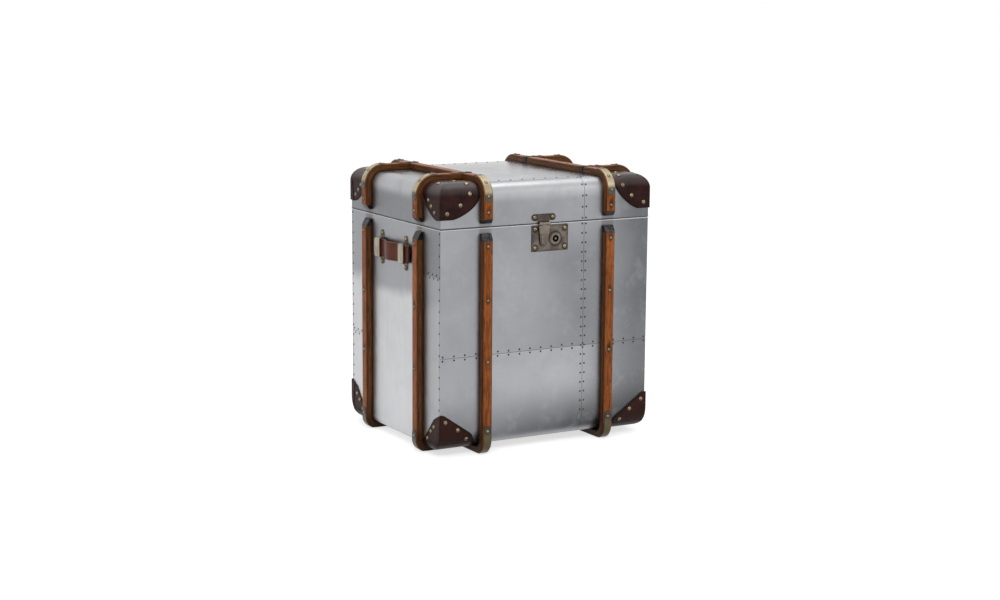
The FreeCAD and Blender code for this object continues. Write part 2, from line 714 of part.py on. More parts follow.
def leather_corners():
    """Moulded leather caps over the eight corners: a front that laps over a thinner flap on the side."""
    far = LEATHER_FACE + OVER

    def corners(form, flat, way, front, flank, fold):
        def on_front(u, v):
            return vec(HALF_W - u, 0, flat - way * v)

        def on_flank(u, v):
            return vec(0, HALF_D - u, flat - way * v)

        def on_flat(u, v):
            return vec(HALF_W - u, HALF_D - v, SPLIT)

        def bounds(tip, outline):
            """Outline from outside the corner, along the flat, to the tip and back to the upright edge."""
            last = (-far, outline[-1][1], 0)
            return [(-far, -far, 0), (tip[0], -far, 0), (*tip, 0), *outline, last]

        across = vec(HALF_W + far, 0, 0)
        cap = form(LEATHER_FACE, 0)
        cap = cap.common(rounded_face(bounds(*front), on_front).extrude(vec(0, HALF_D + far, 0)))
        cap = cap.common(rounded_face(bounds(*flank), on_flank).extrude(across))
        top = [(-far, -far, 0), (LEATHER_X, -far, 0), (LEATHER_X, FLAT_FRONT_REACH, FLAT_ROUND)]
        top += [(FLAT_SIDE_REACH, LEATHER_Y, FLAT_ROUND), (-far, LEATHER_Y, 0)]
        cap = cap.common(rounded_face(top, on_flat).extrude(vec(0, 0, flat + way * far - SPLIT)))
        cap = cap.cut(form(GLUE, OVER))
        low = max(point[1] for point in flank[1]) + OVER
        edge = LEATHER_Y + OVER
        flap = [(FLAP_START[0], fold, 0), (edge, fold, 0), (edge, low, 0), (FLAP_START[1], low, 0)]
        cut = rounded_face(flap, on_flank).extrude(across).cut(form(LEATHER_FACE - FLAP_STEP, OVER))
        right = with_mirror(one(cap.cut(cut)), vec(0, 1, 0))
        return [piece for half in right for piece in with_mirror(half, vec(1, 0, 0))]

    def over_case(grow, past):
        return case_form(grow, CASE_SKIN_TOP + past)

    def over_lid(grow, past):
        return lid_form(grow, LID_SKIN_BOTTOM - past)

    case_front = ((LEATHER_X, CASE_FRONT_TIP), CASE_FRONT_OUTLINE)
    case_flank = ((LEATHER_Y, CASE_FLAP_TIP), CASE_FLAP_OUTLINE)
    lid_front = ((LEATHER_X, LID_FRONT_TIP), LID_FRONT_OUTLINE)
    lid_flank = ((LEATHER_Y, LID_FLAP_TIP), LID_FLAP_OUTLINE)
    return {
        "case_leather_corners": corners(over_case, CASE_BOTTOM, -1, case_front, case_flank, BASE_ROUND_SIDE),
        "lid_leather_corners": corners(over_lid, LID_TOP, 1, lid_front, lid_flank, LID_ROUND),
    }


def leather_nails():
    """Dome nails near the edges of the leather corners."""

    def heads(end, front_bend, flank_bend, front_nails, flap_nails, bend_nails):
        over = wrap_length(end, front_bend)
        front = [(across, over - back, LEATHER_FACE) for across, back in front_nails]
        fold = abs(end - SPLIT) - flank_bend
        over = wrap_length(end, flank_bend)
        flank = [(across, fold - below, LEATHER_FACE - FLAP_STEP) for across, below in flap_nails]
        flank += [(across, over - back, LEATHER_FACE) for across, back in bend_nails]
        found = []
        for side in ("front", "back", "left", "right"):
            facing = side in ("front", "back")
            half = HALF_W if facing else HALF_D
            bend = front_bend if facing else flank_bend
            for across, run, depth in front if facing else flank:
                for hand in (-1, 1):
                    place = wrap_point(side, end, bend, hand * (half - across), run, depth)
                    found.append(nail(place, LEATHER_NAIL, LEATHER_NAIL_TALL))
        return found

    lid = heads(LID_TOP, LID_ROUND, LID_ROUND, LID_FRONT_CORNER_NAILS, LID_FLAP_NAILS, LID_BEND_NAILS)
    across, deep = LID_FLAT_CORNER_NAIL
    for x in (-1, 1):
        for y in (-1, 1):
            point = vec(x * (HALF_W - across), y * (HALF_D - deep), LID_TOP + LEATHER_FACE)
            lid.append(nail((point, vec(0, 0, 1)), LEATHER_NAIL, LEATHER_NAIL_TALL))
    case_nails = (CASE_FRONT_CORNER_NAILS, CASE_FLAP_NAILS, ())
    case = heads(CASE_BOTTOM, BASE_ROUND_FRONT, BASE_ROUND_SIDE, *case_nails)
    return {"case_leather_nails": case, "lid_leather_nails": lid}


def slat_nails():
    """Small dome nails through the slats, guards, tee clips and hasp plate."""
    case = []
    lid = []
    for side, along in each_slat():
        facing = side in ("front", "back")
        for drop in CASE_FRONT_NAIL_DROPS if facing else CASE_SIDE_NAIL_DROPS:
            place = (on_side(side, along, SLAT_FACE, SPLIT - drop), outward(side, 1, 0))
            case.append(nail(place, SLAT_NAIL, SLAT_NAIL_TALL))
        foot = BASE_BEND_FRONT + FRONT_FOOT_TAIL if facing else BASE_BEND_SIDE + SIDE_FOOT_TAIL
        guard_z = CASE_BOTTOM - GLUE + foot - GUARD_NAIL_EDGE
        place = (on_side(side, along, GUARD_FACE, guard_z), outward(side, 1, 0))
        case.append(nail(place, SLAT_NAIL, SLAT_NAIL_TALL))
        place = (on_side(side, along, SLAT_FACE, SPLIT + LID_NAIL_RISE), outward(side, 1, 0))
        lid.append(nail(place, SLAT_NAIL, SLAT_NAIL_TALL))
        half_bend = wrap_length(LID_TOP, LID_ROUND) - LID_ROUND * math.pi / 4
        reach = LID_ROUND * math.pi / 4 + GUARD_TAIL - GUARD_NAIL_EDGE
        for run in (half_bend - reach, half_bend, half_bend + reach):
            place = wrap_point(side, LID_TOP, LID_ROUND, along, run, GUARD_FACE)
            lid.append(nail(place, SLAT_NAIL, SLAT_NAIL_TALL))
    inner = SLAT_X - SLAT_WIDE / 2 + TEE_NAIL_EDGE
    outer = SLAT_X + SLAT_WIDE / 2 + TEE_REACH - TEE_NAIL_EDGE
    up = vec(0, 0, 1)
    for hand in (-1, 1):
        for y in (-SLAT_Y, SLAT_Y):
            for x in (inner, (inner + outer) / 2, outer):
                lid.append(nail((vec(hand * x, y, TEE_TOP), up), SLAT_NAIL, SLAT_NAIL_TALL))
        for y in (-LID_TOP_NAIL_Y, LID_TOP_NAIL_Y):
            lid.append(nail((vec(hand * SLAT_X, y, LID_TOP + SLAT_FACE), up), SLAT_NAIL, SLAT_NAIL_TALL))
    for hand in (-1, 1):
        x = HASP_X + hand * HASP_NAIL_X
        place = (on_side("front", x, HASP_PLATE_THICK, SPLIT + HASP_PLATE_RISE), outward("front", 1, 0))
        lid.append(nail(place, LEATHER_NAIL, LEATHER_NAIL_TALL))
    return {"case_slat_nails": case, "lid_slat_nails": lid}


def fitting_nails():
    """Dome nails of the lock plate and rivets of the handle brackets."""
    heads = []
    for x in spread(LOCK_X, LOCK_WIDE - 2 * LOCK_NAIL_EDGE):
        for drop in (LOCK_DROP + LOCK_NAIL_EDGE, LOCK_DROP + LOCK_TALL - LOCK_NAIL_EDGE):
            place = (on_side("front", x, LOCK_THICK, SPLIT - drop), outward("front", 1, 0))
            heads.append(nail(place, LEATHER_NAIL, LEATHER_NAIL_TALL))
    for side in ("left", "right"):
        for y in spread(0, HANDLE_PITCH):
            for z in spread(SPLIT - HANDLE_DROP, BRACKET_RIVET_PITCH):
                place = (on_side(side, y, BRACKET_THICK, z), outward(side, 1, 0))
                heads.append(nail(place, LEATHER_NAIL, LEATHER_NAIL_TALL))
    return {"case_fitting_nails": heads}


def lock():
    """Lock plate with its raised ring, lock case let into the wall, turning plug and sliding bolt."""
    z = [SPLIT - LOCK_DROP - LOCK_TALL, SPLIT - LOCK_DROP]
    plate = side_block("front", spread(LOCK_X, LOCK_WIDE), (0, LOCK_THICK), z)
    corners = [edge for edge in plate.Edges if abs(edge.Length - LOCK_THICK) < GLUE]
    plate = plate.makeFillet(LOCK_CORNER, corners)
    plug_z = SPLIT - PLUG_DROP
    face = LOCK_THICK + BOSS_TALL
    plate = plate.fuse(side_rod("front", PLUG_X, plug_z, RING_RADIUS, (0, LOCK_THICK + RING_TALL)))
    plate = plate.fuse(side_rod("front", PLUG_X, plug_z, BOSS_RADIUS, (0, face)))
    plate = plate.cut(side_rod("front", PLUG_X, plug_z, PLUG_RADIUS + RUN_FIT, (-OVER, face + OVER)))
    plate = plate.cut(side_block("front", SLOT_X, (-OVER, face), (SPLIT - SLOT_DROP, SPLIT)))

    wall = LOCK_BOX_WALL
    box_z = [SPLIT - drop for drop in LOCK_BOX_DROP]
    deep = (-CORE - BOARD, -CORE)
    box = side_block("front", LOCK_BOX_X, deep, box_z)
    room = side_block(
        "front",
        (LOCK_BOX_X[0] + wall, LOCK_BOX_X[1] - wall),
        (deep[0] + wall, 0),
        (box_z[1] + wall, box_z[0] - wall),
    )
    bolt_y = -HALF_D + BOLT_DEPTH
    bolt_z = SPLIT - BOLT_DROP
    tip = LOCK_BOX_X[0]

    def bolt_bar(radius, start, end):
        return Part.makeCylinder(radius, end - start, vec(start, bolt_y, bolt_z), vec(1, 0, 0))

    box = box.cut(room).cut(bolt_bar(BOLT_NOSE + BOLT_PLAY, tip - OVER, tip + wall + OVER))

    plug = side_rod("front", PLUG_X, plug_z, PLUG_RADIUS, (-CAM_FRONT, face))
    groove = side_rod("front", PLUG_X, plug_z, PLUG_GROOVE[1], (face - PLUG_GROOVE_DEEP, face + OVER))
    groove = groove.cut(side_rod("front", PLUG_X, plug_z, PLUG_GROOVE[0], (face - PLUG_GROOVE_DEEP, face)))
    cam = side_rod("front", PLUG_X, plug_z, CAM_RADIUS, (-CAM_FRONT - CAM_THICK, -CAM_FRONT))
    pin_x = PLUG_X + CAM_PIN_ARM
    pin_z = plug_z + CAM_PIN_ARM
    bolt_back = BOLT_DEPTH + BOLT_THICK / 2
    pin = side_rod("front", pin_x, pin_z, CAM_PIN_RADIUS, (-bolt_back, -CAM_FRONT))
    plug = plug.cut(groove).fuse(cam).fuse(pin)

    bar_x = (tip + wall + BOLT_TRAVEL + BOLT_PLAY, pin_x + CAM_PIN_RADIUS + 2 * CAM_PIN_PLAY + wall)
    bar_z = spread(bolt_z, BOLT_TALL)
    bar = side_block("front", bar_x, (-bolt_back, BOLT_THICK / 2 - BOLT_DEPTH), bar_z)
    track_x = spread(pin_x, 2 * (CAM_PIN_RADIUS + CAM_PIN_PLAY))
    track_z = (pin_z - CAM_PIN_RADIUS - CAM_PIN_PLAY, bar_z[1] + OVER)
    bar = bar.cut(side_block("front", track_x, (-bolt_back - OVER, 0), track_z))
    bolt = bar.fuse(bolt_bar(BOLT_NOSE, tip, bar_x[0] + OVER))
    return {
        "lock_plate": [one(plate)],
        "lock_case": [one(box)],
        "lock_plug": [one(plug)],
        "lock_bolt": [one(bolt)],
    }


def hasp():
    """Hasp plate with the pin of its hinge, and the tongue with a staple for the bolt."""
    z = SPLIT + HASP_PLATE_RISE
    axis_z = SPLIT + HASP_AXIS_RISE
    axis_y = -HALF_D - HASP_AXIS_DEPTH
    end_x = HASP_PLATE_WIDE / 2 - HASP_PLATE_TALL / 2
    plate_deep = (0, HASP_PLATE_THICK)

    def bar(radius, span):
        return Part.makeCylinder(radius, span[1] - span[0], vec(span[0], axis_y, axis_z), vec(1, 0, 0))

    plate = side_block("front", spread(HASP_X, 2 * end_x), plate_deep, spread(z, HASP_PLATE_TALL))
    for hand in (-1, 1):
        plate = plate.fuse(side_rod("front", HASP_X + hand * end_x, z, HASP_PLATE_TALL / 2, plate_deep))
    neck = spread(HASP_X, HASP_NECK_WIDE)
    plate = plate.fuse(side_block("front", neck, plate_deep, (LID_SKIN_BOTTOM, z)))
    middle = spread(HASP_X, HASP_KNUCKLE_WIDE + 2 * HASP_SIDE_PLAY)
    ears = ((neck[0], middle[0]), (middle[1], neck[1]))
    top = axis_z + HASP_KNUCKLE
    for ear in ears:
        plate = plate.fuse(bar(HASP_KNUCKLE, ear))
        plate = plate.fuse(side_block("front", ear, (0, HASP_AXIS_DEPTH), (LID_SKIN_BOTTOM, top)))
    plate = plate.fuse(bar(HASP_PIN, neck))

    tongue_top = axis_z - HASP_KNUCKLE / 2
    tip = SPLIT - TONGUE_DROP
    slope = (TONGUE_WIDE_TOP - TONGUE_WIDE_TIP) / 2
    shoulder_z = tongue_top - HASP_KNUCKLE
    round_z = tip + TONGUE_WIDE_TIP / 2
    deep = (TONGUE_DEPTH, TONGUE_DEPTH + TONGUE_THICK)

    def tongue_blade(inset, tall, depth):
        low = TONGUE_WIDE_TIP / 2 - inset
        high = low + slope * (tall - round_z) / (shoulder_z - round_z)
        outline = [(-low, round_z), (low, round_z), (high, tall), (-high, tall)]
        face = polygon([on_side("front", HASP_X + x, depth[0], height) for x, height in outline])
        blade = face.extrude(outward("front", depth[1] - depth[0], 0))
        return blade.fuse(side_rod("front", HASP_X, round_z, low, depth))

    tongue = tongue_blade(0, shoulder_z, deep)
    rib_deep = (deep[0], deep[1] + TONGUE_RIB)
    tongue = tongue.fuse(tongue_blade(TONGUE_RIB_EDGE, SPLIT - TONGUE_RIB_DROP, rib_deep))
    nub = Part.makeSphere(TONGUE_NUB, on_side("front", HASP_X, deep[1], tip + TONGUE_NUB_RISE))
    nub_deep = (deep[0], deep[1] + TONGUE_NUB + OVER)
    nub_room = side_block("front", spread(HASP_X, TONGUE_WIDE_TIP), nub_deep, (tip, SPLIT))
    tongue = tongue.fuse(nub.common(nub_room))
    arm = spread(HASP_X, HASP_KNUCKLE_WIDE)
    tongue = tongue.fuse(side_block("front", arm, deep, (shoulder_z - OVER, axis_z)))
    tongue = tongue.fuse(bar(HASP_KNUCKLE, arm))
    tongue = tongue.cut(bar(HASP_PIN + RUN_FIT, neck))
    eye_z = SPLIT - BOLT_DROP
    rim = STAPLE_EYE + STAPLE_RIM
    staple = side_block("front", STAPLE_X, (-BOLT_DEPTH, deep[0]), spread(eye_z, 2 * rim))
    eye_y = -HALF_D + BOLT_DEPTH

    def eye_bar(radius, over):
        start = vec(STAPLE_X[0] - over, eye_y, eye_z)
        return Part.makeCylinder(radius, STAPLE_X[1] - STAPLE_X[0] + 2 * over, start, vec(1, 0, 0))

    staple = staple.fuse(eye_bar(rim, 0)).cut(eye_bar(STAPLE_EYE, OVER))
    return {"hasp_plate": [one(plate)], "hasp": [one(tongue.fuse(staple))]}


def handle_bracket(side, y):
    """Base plate with round ends, and a flat loop that stands off it to hold the strap."""
    z = SPLIT - HANDLE_DROP
    deep = (0, BRACKET_THICK)
    plate = side_block(side, spread(y, BRACKET_WIDE), deep, spread(z, BRACKET_RIVET_PITCH))
    for end in spread(z, BRACKET_RIVET_PITCH):
        plate = plate.fuse(side_rod(side, y, end, BRACKET_WIDE / 2, deep))
    room_tall = STRAP_TALL + 2 * STRAP_PLAY
    along = spread(y, LOOP_WIDE)
    loop = side_block(side, along, (0, LOOP_REACH), spread(z, room_tall + 2 * LOOP_THICK))
    long_edges = [
        edge
        for edge in loop.Edges
        if abs(edge.Length - LOOP_WIDE) < GLUE
        and abs(abs(edge.CenterOfMass.x) - HALF_W - LOOP_REACH) < GLUE
    ]
    loop = loop.makeFillet(LOOP_ROUND, long_edges)
    room = side_block(side, along, (BRACKET_THICK, LOOP_REACH - LOOP_THICK), spread(z, room_tall))
    low, high = spread(z, room_tall + 2 * LOOP_THICK)
    near, far = sorted(along, key=abs)
    outline = [(near, low, 0), (far, low, LOOP_END_ROUND), (far, high, LOOP_END_ROUND), (near, high, 0)]
    blank = rounded_face(outline, lambda u, v: on_side(side, u, 0, v)).extrude(outward(side, LOOP_REACH, 0))
    return one(plate.fuse(loop.cut(room).common(blank)))


def handle_strap(side):
    """Leather strap that bows out between its loops, with rounded ends."""
    turn = 2 * math.atan(STRAP_BOW / STRAP_BOW_HALF)
    bend = STRAP_BOW_HALF / (2 * math.sin(turn))
    z = SPLIT - HANDLE_DROP

    def curve_points(hand):
        """Far end to middle: the points that two tangent arcs pass through, for one face."""
        shift = hand * STRAP_THICK / 2

        def inner(angle):
            radius = bend - shift
            depth = STRAP_DEPTH + bend - radius * math.cos(angle)
            return (-STRAP_BOW_HALF + radius * math.sin(angle), depth)

        def outer(angle):
            radius = bend + shift
            return (-radius * math.sin(angle), STRAP_DEPTH + STRAP_BOW - bend + radius * math.cos(angle))

        start = (-STRAP_LONG / 2, STRAP_DEPTH + shift)
        return [start, inner(0), inner(turn / 2), inner(turn), outer(turn / 2), outer(0)]

    def edge_run(hand):
        near = curve_points(hand)
        far = [(-y, depth) for y, depth in reversed(near[:-1])]
        points = [on_side(side, y, depth, z - STRAP_TALL / 2) for y, depth in near + far]
        return [
            Part.LineSegment(points[0], points[1]).toShape(),
            Part.Arc(points[1], points[2], points[3]).toShape(),
            Part.Arc(points[3], points[4], points[5]).toShape(),
            Part.Arc(points[5], points[6], points[7]).toShape(),
            Part.Arc(points[7], points[8], points[9]).toShape(),
            Part.LineSegment(points[9], points[10]).toShape(),
        ], points[0], points[10]

    lower, lower_start, lower_end = edge_run(-1)
    upper, upper_start, upper_end = edge_run(1)
    close_start = Part.LineSegment(upper_start, lower_start).toShape()
    close_end = Part.LineSegment(lower_end, upper_end).toShape()
    wire = Part.Wire(lower + [close_end] + upper[::-1] + [close_start])
    strap = Part.Face(wire).extrude(vec(0, 0, STRAP_TALL))
    tips = []
    for edge in strap.Edges:
        across = edge.BoundBox
        at_end = abs(abs(edge.CenterOfMass.y) - STRAP_LONG / 2) < GLUE
        if at_end and across.ZLength < GLUE:
            tips.append(edge)
    return strap.makeFillet(STRAP_END_ROUND, tips).Solids[0]


def handles():
    nodes = {}
    for side in ("left", "right"):
        brackets = [handle_bracket(side, y) for y in spread(0, HANDLE_PITCH)]
        nodes["handle_brackets_" + side] = brackets
        nodes["handle_strap_" + side] = [handle_strap(side)]
    return nodes


def hinge_leaf(x, way, first):
    """Leaf of a back hinge: a plate and every second knuckle round the pin."""
    span = spread(x, HINGE_WIDE)
    deep = (0, HINGE_LEAF)
    near = SPLIT + way * HINGE_EDGE
    leaf = side_block("back", span, deep, (near, near + way * HINGE_TALL))
    pitch = HINGE_WIDE / HINGE_KNUCKLES
    for index in range(first, HINGE_KNUCKLES, 2):
        low = span[0] + index * pitch + HINGE_PLAY / 2
        knuckle = (low, low + pitch - HINGE_PLAY)
        start = vec(low, HINGE_AXIS_Y, SPLIT)
        leaf = leaf.fuse(Part.makeCylinder(HINGE_KNUCKLE, pitch - HINGE_PLAY, start, vec(1, 0, 0)))
        leaf = leaf.fuse(side_block("back", knuckle, deep, (SPLIT, near + way * OVER)))
    start = vec(span[0] - OVER, HINGE_AXIS_Y, SPLIT)
    bore = Part.makeCylinder(HINGE_PIN + RUN_FIT, HINGE_WIDE + 2 * OVER, start, vec(1, 0, 0))
    return one(leaf.cut(bore))


def hinges():
    """Two butt hinges on the back: case leaves, lid leaves and pins."""
    places = (-HINGE_X, HINGE_X)
    pins = []
    for x in places:
        start = vec(x - HINGE_WIDE / 2, HINGE_AXIS_Y, SPLIT)
        pins.append(Part.makeCylinder(HINGE_PIN, HINGE_WIDE, start, vec(1, 0, 0)))
    return {
        "hinge_case_leaves": [hinge_leaf(x, -1, 0) for x in places],
        "hinge_lid_leaves": [hinge_leaf(x, 1, 1) for x in places],
        "hinge_pins": pins,
    }


def build():
    nodes = {}
    for make in (
        case_boards,
        case_lining,
        case_sheets,
        lid_boards,
        lid_sheets,
        case_slats,
        lid_slats,
        guards,
        tee_clips,
        leather_corners,
        leather_nails,
        slat_nails,
        fitting_nails,
        lock,
        hasp,
        handles,
        hinges,
    ):
        nodes.update(make())
    return nodes


def main():
    os.makedirs("parts", exist_ok=True)
    for name, solids in build().items():
        shape = solids[0] if len(solids) == 1 else Part.makeCompound(solids)
        shape.exportStep("parts/" + name + ".step")


main()
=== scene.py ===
"""Looks of a metal-clad trunk used as a side table."""

import math
import random

import bmesh
import bpy
from mathutils import Matrix, Vector


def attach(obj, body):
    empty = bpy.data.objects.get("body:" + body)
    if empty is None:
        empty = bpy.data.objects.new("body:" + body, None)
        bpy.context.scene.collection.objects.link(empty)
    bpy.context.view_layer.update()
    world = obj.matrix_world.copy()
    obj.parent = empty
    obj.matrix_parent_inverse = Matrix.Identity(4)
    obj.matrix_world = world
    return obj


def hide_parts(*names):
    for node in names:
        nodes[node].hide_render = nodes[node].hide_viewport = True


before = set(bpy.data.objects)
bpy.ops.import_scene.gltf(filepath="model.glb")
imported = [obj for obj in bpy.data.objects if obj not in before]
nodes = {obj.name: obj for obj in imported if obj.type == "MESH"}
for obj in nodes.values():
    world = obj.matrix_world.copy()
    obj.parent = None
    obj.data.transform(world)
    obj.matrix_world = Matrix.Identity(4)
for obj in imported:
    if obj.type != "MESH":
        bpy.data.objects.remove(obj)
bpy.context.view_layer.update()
random.seed(7)

# Sizes of the part, in metres
HALF_W = 0.270
HALF_D = 0.222
SPLIT = 0.510
LID_TOP = 0.607
CASE_BOTTOM = 0.0151
LID_ROUND = 0.030
BASE_BEND_FRONT = 0.018
BASE_BEND_SIDE = 0.012
SLAT_X = 0.159
SLAT_Y = 0.128
SLAT_HALF = 0.0125
LIP_GAP = 0.0004
FRONT_SEAM_Z = 0.225
FRONT_SEAM_X = 0.097
SIDE_SEAM_FRONT_Z = 0.405
SIDE_SEAM_REAR_Z = 0.220
SIDE_LAP = 0.0036
FRONT_NAIL_LEVELS = (0.4695, 0.349, 0.211, 0.544)
SIDE_NAIL_LEVELS = (0.470, 0.330, 0.189, 0.544)
LOCK_X = 0.0063
LOCK_HALF_W = 0.0472
LOCK_HIGH = 0.5065
LOCK_LOW = 0.4475
LID_GUARD_TIP = 0.567
FOOT_GUARD_TIPS = {"front": 0.0665, "side": 0.049}
PLUG_X = 0.0199
PLUG_Z = 0.4752
KEY_PIN = 0.0022
KEY_RECESS = 0.0074
RING_RADIUS = 0.0160
BOSS_RADIUS = 0.0115
HANDLE_Z = 0.439
STRAP_HALF = 0.021

# Edges of the leather corners: two points each, as distances from the upright edge and from the flat
LID_FRONT_EDGE = ((0.097, 0.010), (0.029, 0.0795))
LID_FLAP_EDGE = ((0.066, 0.048), (0.0, 0.076))
CASE_FRONT_EDGE = ((0.078, 0.036), (0.008, 0.084))
CASE_FLAP_EDGE = ((0.079, 0.012), (0.027, 0.071))

# The lid's leather swells outwards from those edges: to a rounded front edge, and down on the flap
SWELL_START = 0.0275
SWELL_DEEP = 0.0532
SWELL_POWER = 1.7
SWELL_LEFT = 0.95
SWELL_RIGHT = 0.50
FLAP_SWELL = 0.33
FLAP_REACH = 0.074

# Share of a level or an upright distance that lies square to a swollen edge
ACROSS_FRONT = 0.75
ACROSS_FLAP = 0.85

# Zones of the sheets. A pair holds the limits between which a look fades in, here and below
# Painted reflection that makes the lower part of the sides paler
SIDE_SHEEN_Z = (0.365, 0.325)
SIDE_SHEEN_Y = (-0.165, -0.115)
# Painted highlight along the lid's bend
BEND_DROP = (0.048, 0.022)
# Painted reflection: the top paler towards the rear
TOP_REAR_Y = (0.08, 0.18)
SEAM_FADE = 0.001
# Painted shade on the front towards its right end
RIGHT_FROM = 0.087
# Painted shade on the lid's sides
LID_SIDE_DROP = (0.02, 0.05)
# Painted shade on the front by the upright seam, a painted glow low down and painted shade at its foot
SHADE_LEFT = -0.08
SHADE_WIDE = 0.08
SHADE_DEEP = 0.10
GLOW_X = -0.04
GLOW_REACH = (0.20, 0.02)
FOOT_Z = (0.165, 0.025)
FOOT_X = (-0.20, 0.10)
# Painted shade on the front strip of the sides
STRIP_Y = (-0.140, -0.150)
LINE_FADE = 0.002
# Painted shade and reflection of the slats beside them, with some grime
SHADE_AND_GRIME_X = (0.019, 0.012)
SHADE_AND_GRIME_Y = (0.025, 0.012)
SHADE_AND_GRIME_FROM = (0.150, 0.165)
LAP_LINE = (0.0011, 0.0004)

# Zones of the slats and their caps
ARRIS_ACROSS = (0.0085, 0.0118)
ARRIS_DEPTH = (0.0095, 0.0125)
# Painted shade where the slats meet the sheets
SHADE_AT_SHEET_DEPTH = (0.0055, 0.0005)
STAIN_REACH = (0.0125, 0.0035)
STAIN_RISE = 0.003
# Painted shade that darkens towards the floor
LOW_SHADE_Z = (-0.005, 0.085)
CAP_FADE = (0.0062, 0.0038)
CAP_RAGGED = 0.008
CAP_METAL = 0.7

# Zones of the guards and the lock
FEET_Z = (0.3, 0.2)
UPPER_Z = (0.3, 0.5)
END_FADE = (0.024, 0.013)
TOP_END = (-0.017, -0.028)
TOP_FADE = 0.010
FRONT_FADE = 0.010
LOCK_REACH = 0.07
LOCK_RELIEF = (0.0035, 0.0048)
# Painted light: the lock's raised parts paler towards the top
LOCK_LIT_Z = (0.46, 0.53)
# Painted highlight on the boss's rim, painted shade at the ring's step
BOSS_STEP = (0.0086, 0.0096)
BOSS_FADE = 0.0016
RING_STEP = (0.0130, 0.0150)
RING_FADE = 0.0035
LOCK_EDGE = 0.0070
NAIL_HALO = (0.0102, 0.0060)
PIN_FADE = 0.0010
RECESS_FADE = 0.0006

# Zones of the handles, the leather, the lips and the boards
BRACKET_BASE = (0.0028, 0.0018)
CASE_LEATHER_HIGH = 0.31
BURNT_EDGE = (0.0050, 0.0010)
STRAP_CUT = (0.0022, 0.0006)
STRAP_LINE_IN = 0.0040
STRAP_LINE_WIDE = (0.0010, 0.0003)
LIP_MIDDLE = 0.0002
LIP_SHADE = (0.0026, 0.0017)
# Painted shade in the gap at the lid line
GAP_SHADE_REACH = (0.0060, 0.0020)


# Shader helpers
def link_in(tree, socket, value):
    if isinstance(value, bpy.types.NodeSocket):
        tree.links.new(value, socket)
    elif value is not None:
        socket.default_value = value


def add(tree, kind, inputs=None, **settings):
    made = tree.nodes.new(kind)
    for key, value in settings.items():
        setattr(made, key, value)
    for key, value in (inputs or {}).items():
        link_in(tree, made.inputs[key], value)
    return made


def calc(tree, operation, *values, clamp=False):
    made = add(tree, "ShaderNodeMath", operation=operation, use_clamp=clamp)
    for index, value in enumerate(values):
        link_in(tree, made.inputs[index], value)
    return made.outputs[0]


def product(tree, *values):
    total = values[0]
    for value in values[1:]:
        total = calc(tree, "MULTIPLY", total, value)
    return total


def plus(tree, first, second):
    return calc(tree, "ADD", first, second)


def minus(tree, first, second):
    return calc(tree, "SUBTRACT", first, second)


def most(tree, first, second):
    return calc(tree, "MAXIMUM", first, second)


def least(tree, first, second):
    return calc(tree, "MINIMUM", first, second)


def hypot(tree, first, second):
    squares = plus(tree, calc(tree, "POWER", first, 2.0), calc(tree, "POWER", second, 2.0))
    return calc(tree, "SQRT", squares)


def less(tree, share):
    """What is left of 1 when a share is taken off."""
    return calc(tree, "SUBTRACT", 1.0, share)


def ramp(tree, value, low, high, start=0.0, end=1.0):
    """Smooth step of a value between two limits."""
    made = add(
        tree,
        "ShaderNodeMapRange",
        {"Value": value, "From Min": low, "From Max": high, "To Min": start, "To Max": end},
        interpolation_type="SMOOTHSTEP",
    )
    return made.outputs[0]


def blend(tree, share, first, second):
    """The first tone, with a share of the second over it."""
    made = add(tree, "ShaderNodeMix", data_type="RGBA")
    link_in(tree, made.inputs[0], share)
    link_in(tree, made.inputs[6], first)
    link_in(tree, made.inputs[7], second)
    return made.outputs[2]


def noise(tree, vector, scale, detail=4.0, roughness=0.55, distortion=0.0):
    inputs = {"Vector": vector, "Scale": scale, "Detail": detail}
    inputs.update({"Roughness": roughness, "Distortion": distortion})
    return add(tree, "ShaderNodeTexNoise", inputs).outputs[0]


def combine(tree, x, y, z):
    return add(tree, "ShaderNodeCombineXYZ", {"X": x, "Y": y, "Z": z}).outputs[0]


def stretch(tree, vector, x, y, z):
    made = add(tree, "ShaderNodeVectorMath", {0: vector, 1: (x, y, z)}, operation="MULTIPLY")
    return made.outputs[0]


def scaled(tree, tone, factor):
    return add(tree, "ShaderNodeVectorMath", {0: tone, "Scale": factor}, operation="SCALE").outputs[0]


def rgb(red, green, blue):
    return (red, green, blue, 1.0)


def faded(tone, share):
    """A share of a tone's brightness."""
    return rgb(*[share * channel for channel in tone[:3]])


# Tones: sheets
SHEET_DARK = rgb(0.272, 0.278, 0.294)
SHEET_MID = rgb(0.322, 0.327, 0.339)
# Painted reflection low on the sides
SHEET_SIDE_SHEEN = rgb(0.55, 0.555, 0.565)
# Painted highlight on the lid's bend
SHEET_HIGHLIGHT_ON_BEND = rgb(0.49, 0.495, 0.505)
SHEET_TOP = rgb(0.34, 0.345, 0.36)
# Painted reflection on the rear of the top
SHEET_SHEEN_AT_REAR = rgb(0.46, 0.46, 0.465)
SHEET_BLUISH = rgb(0.205, 0.220, 0.260)
SHEET_FLECK = rgb(0.50, 0.50, 0.51)
SHEET_BRUSHED = rgb(0.17, 0.175, 0.185)
SHEET_PIT = rgb(0.07, 0.07, 0.07)
# Painted shade and reflection of the slats, with some grime
SHEET_SHADE_AND_GRIME = rgb(0.115, 0.078, 0.066)
SHEET_LAP = rgb(0.055, 0.056, 0.062)
LIP_DARK = rgb(0.26, 0.265, 0.28)
LIP_MID = rgb(0.36, 0.365, 0.38)
# Painted highlight on the case's lip
LIP_HIGHLIGHT = rgb(0.58, 0.585, 0.60)
# Painted shadow of the gap on the lid's lip
LIP_GAP_SHADOW = rgb(0.030, 0.030, 0.032)
RIVET_DARK = rgb(0.022, 0.022, 0.024)
RIVET_MID = rgb(0.085, 0.085, 0.092)

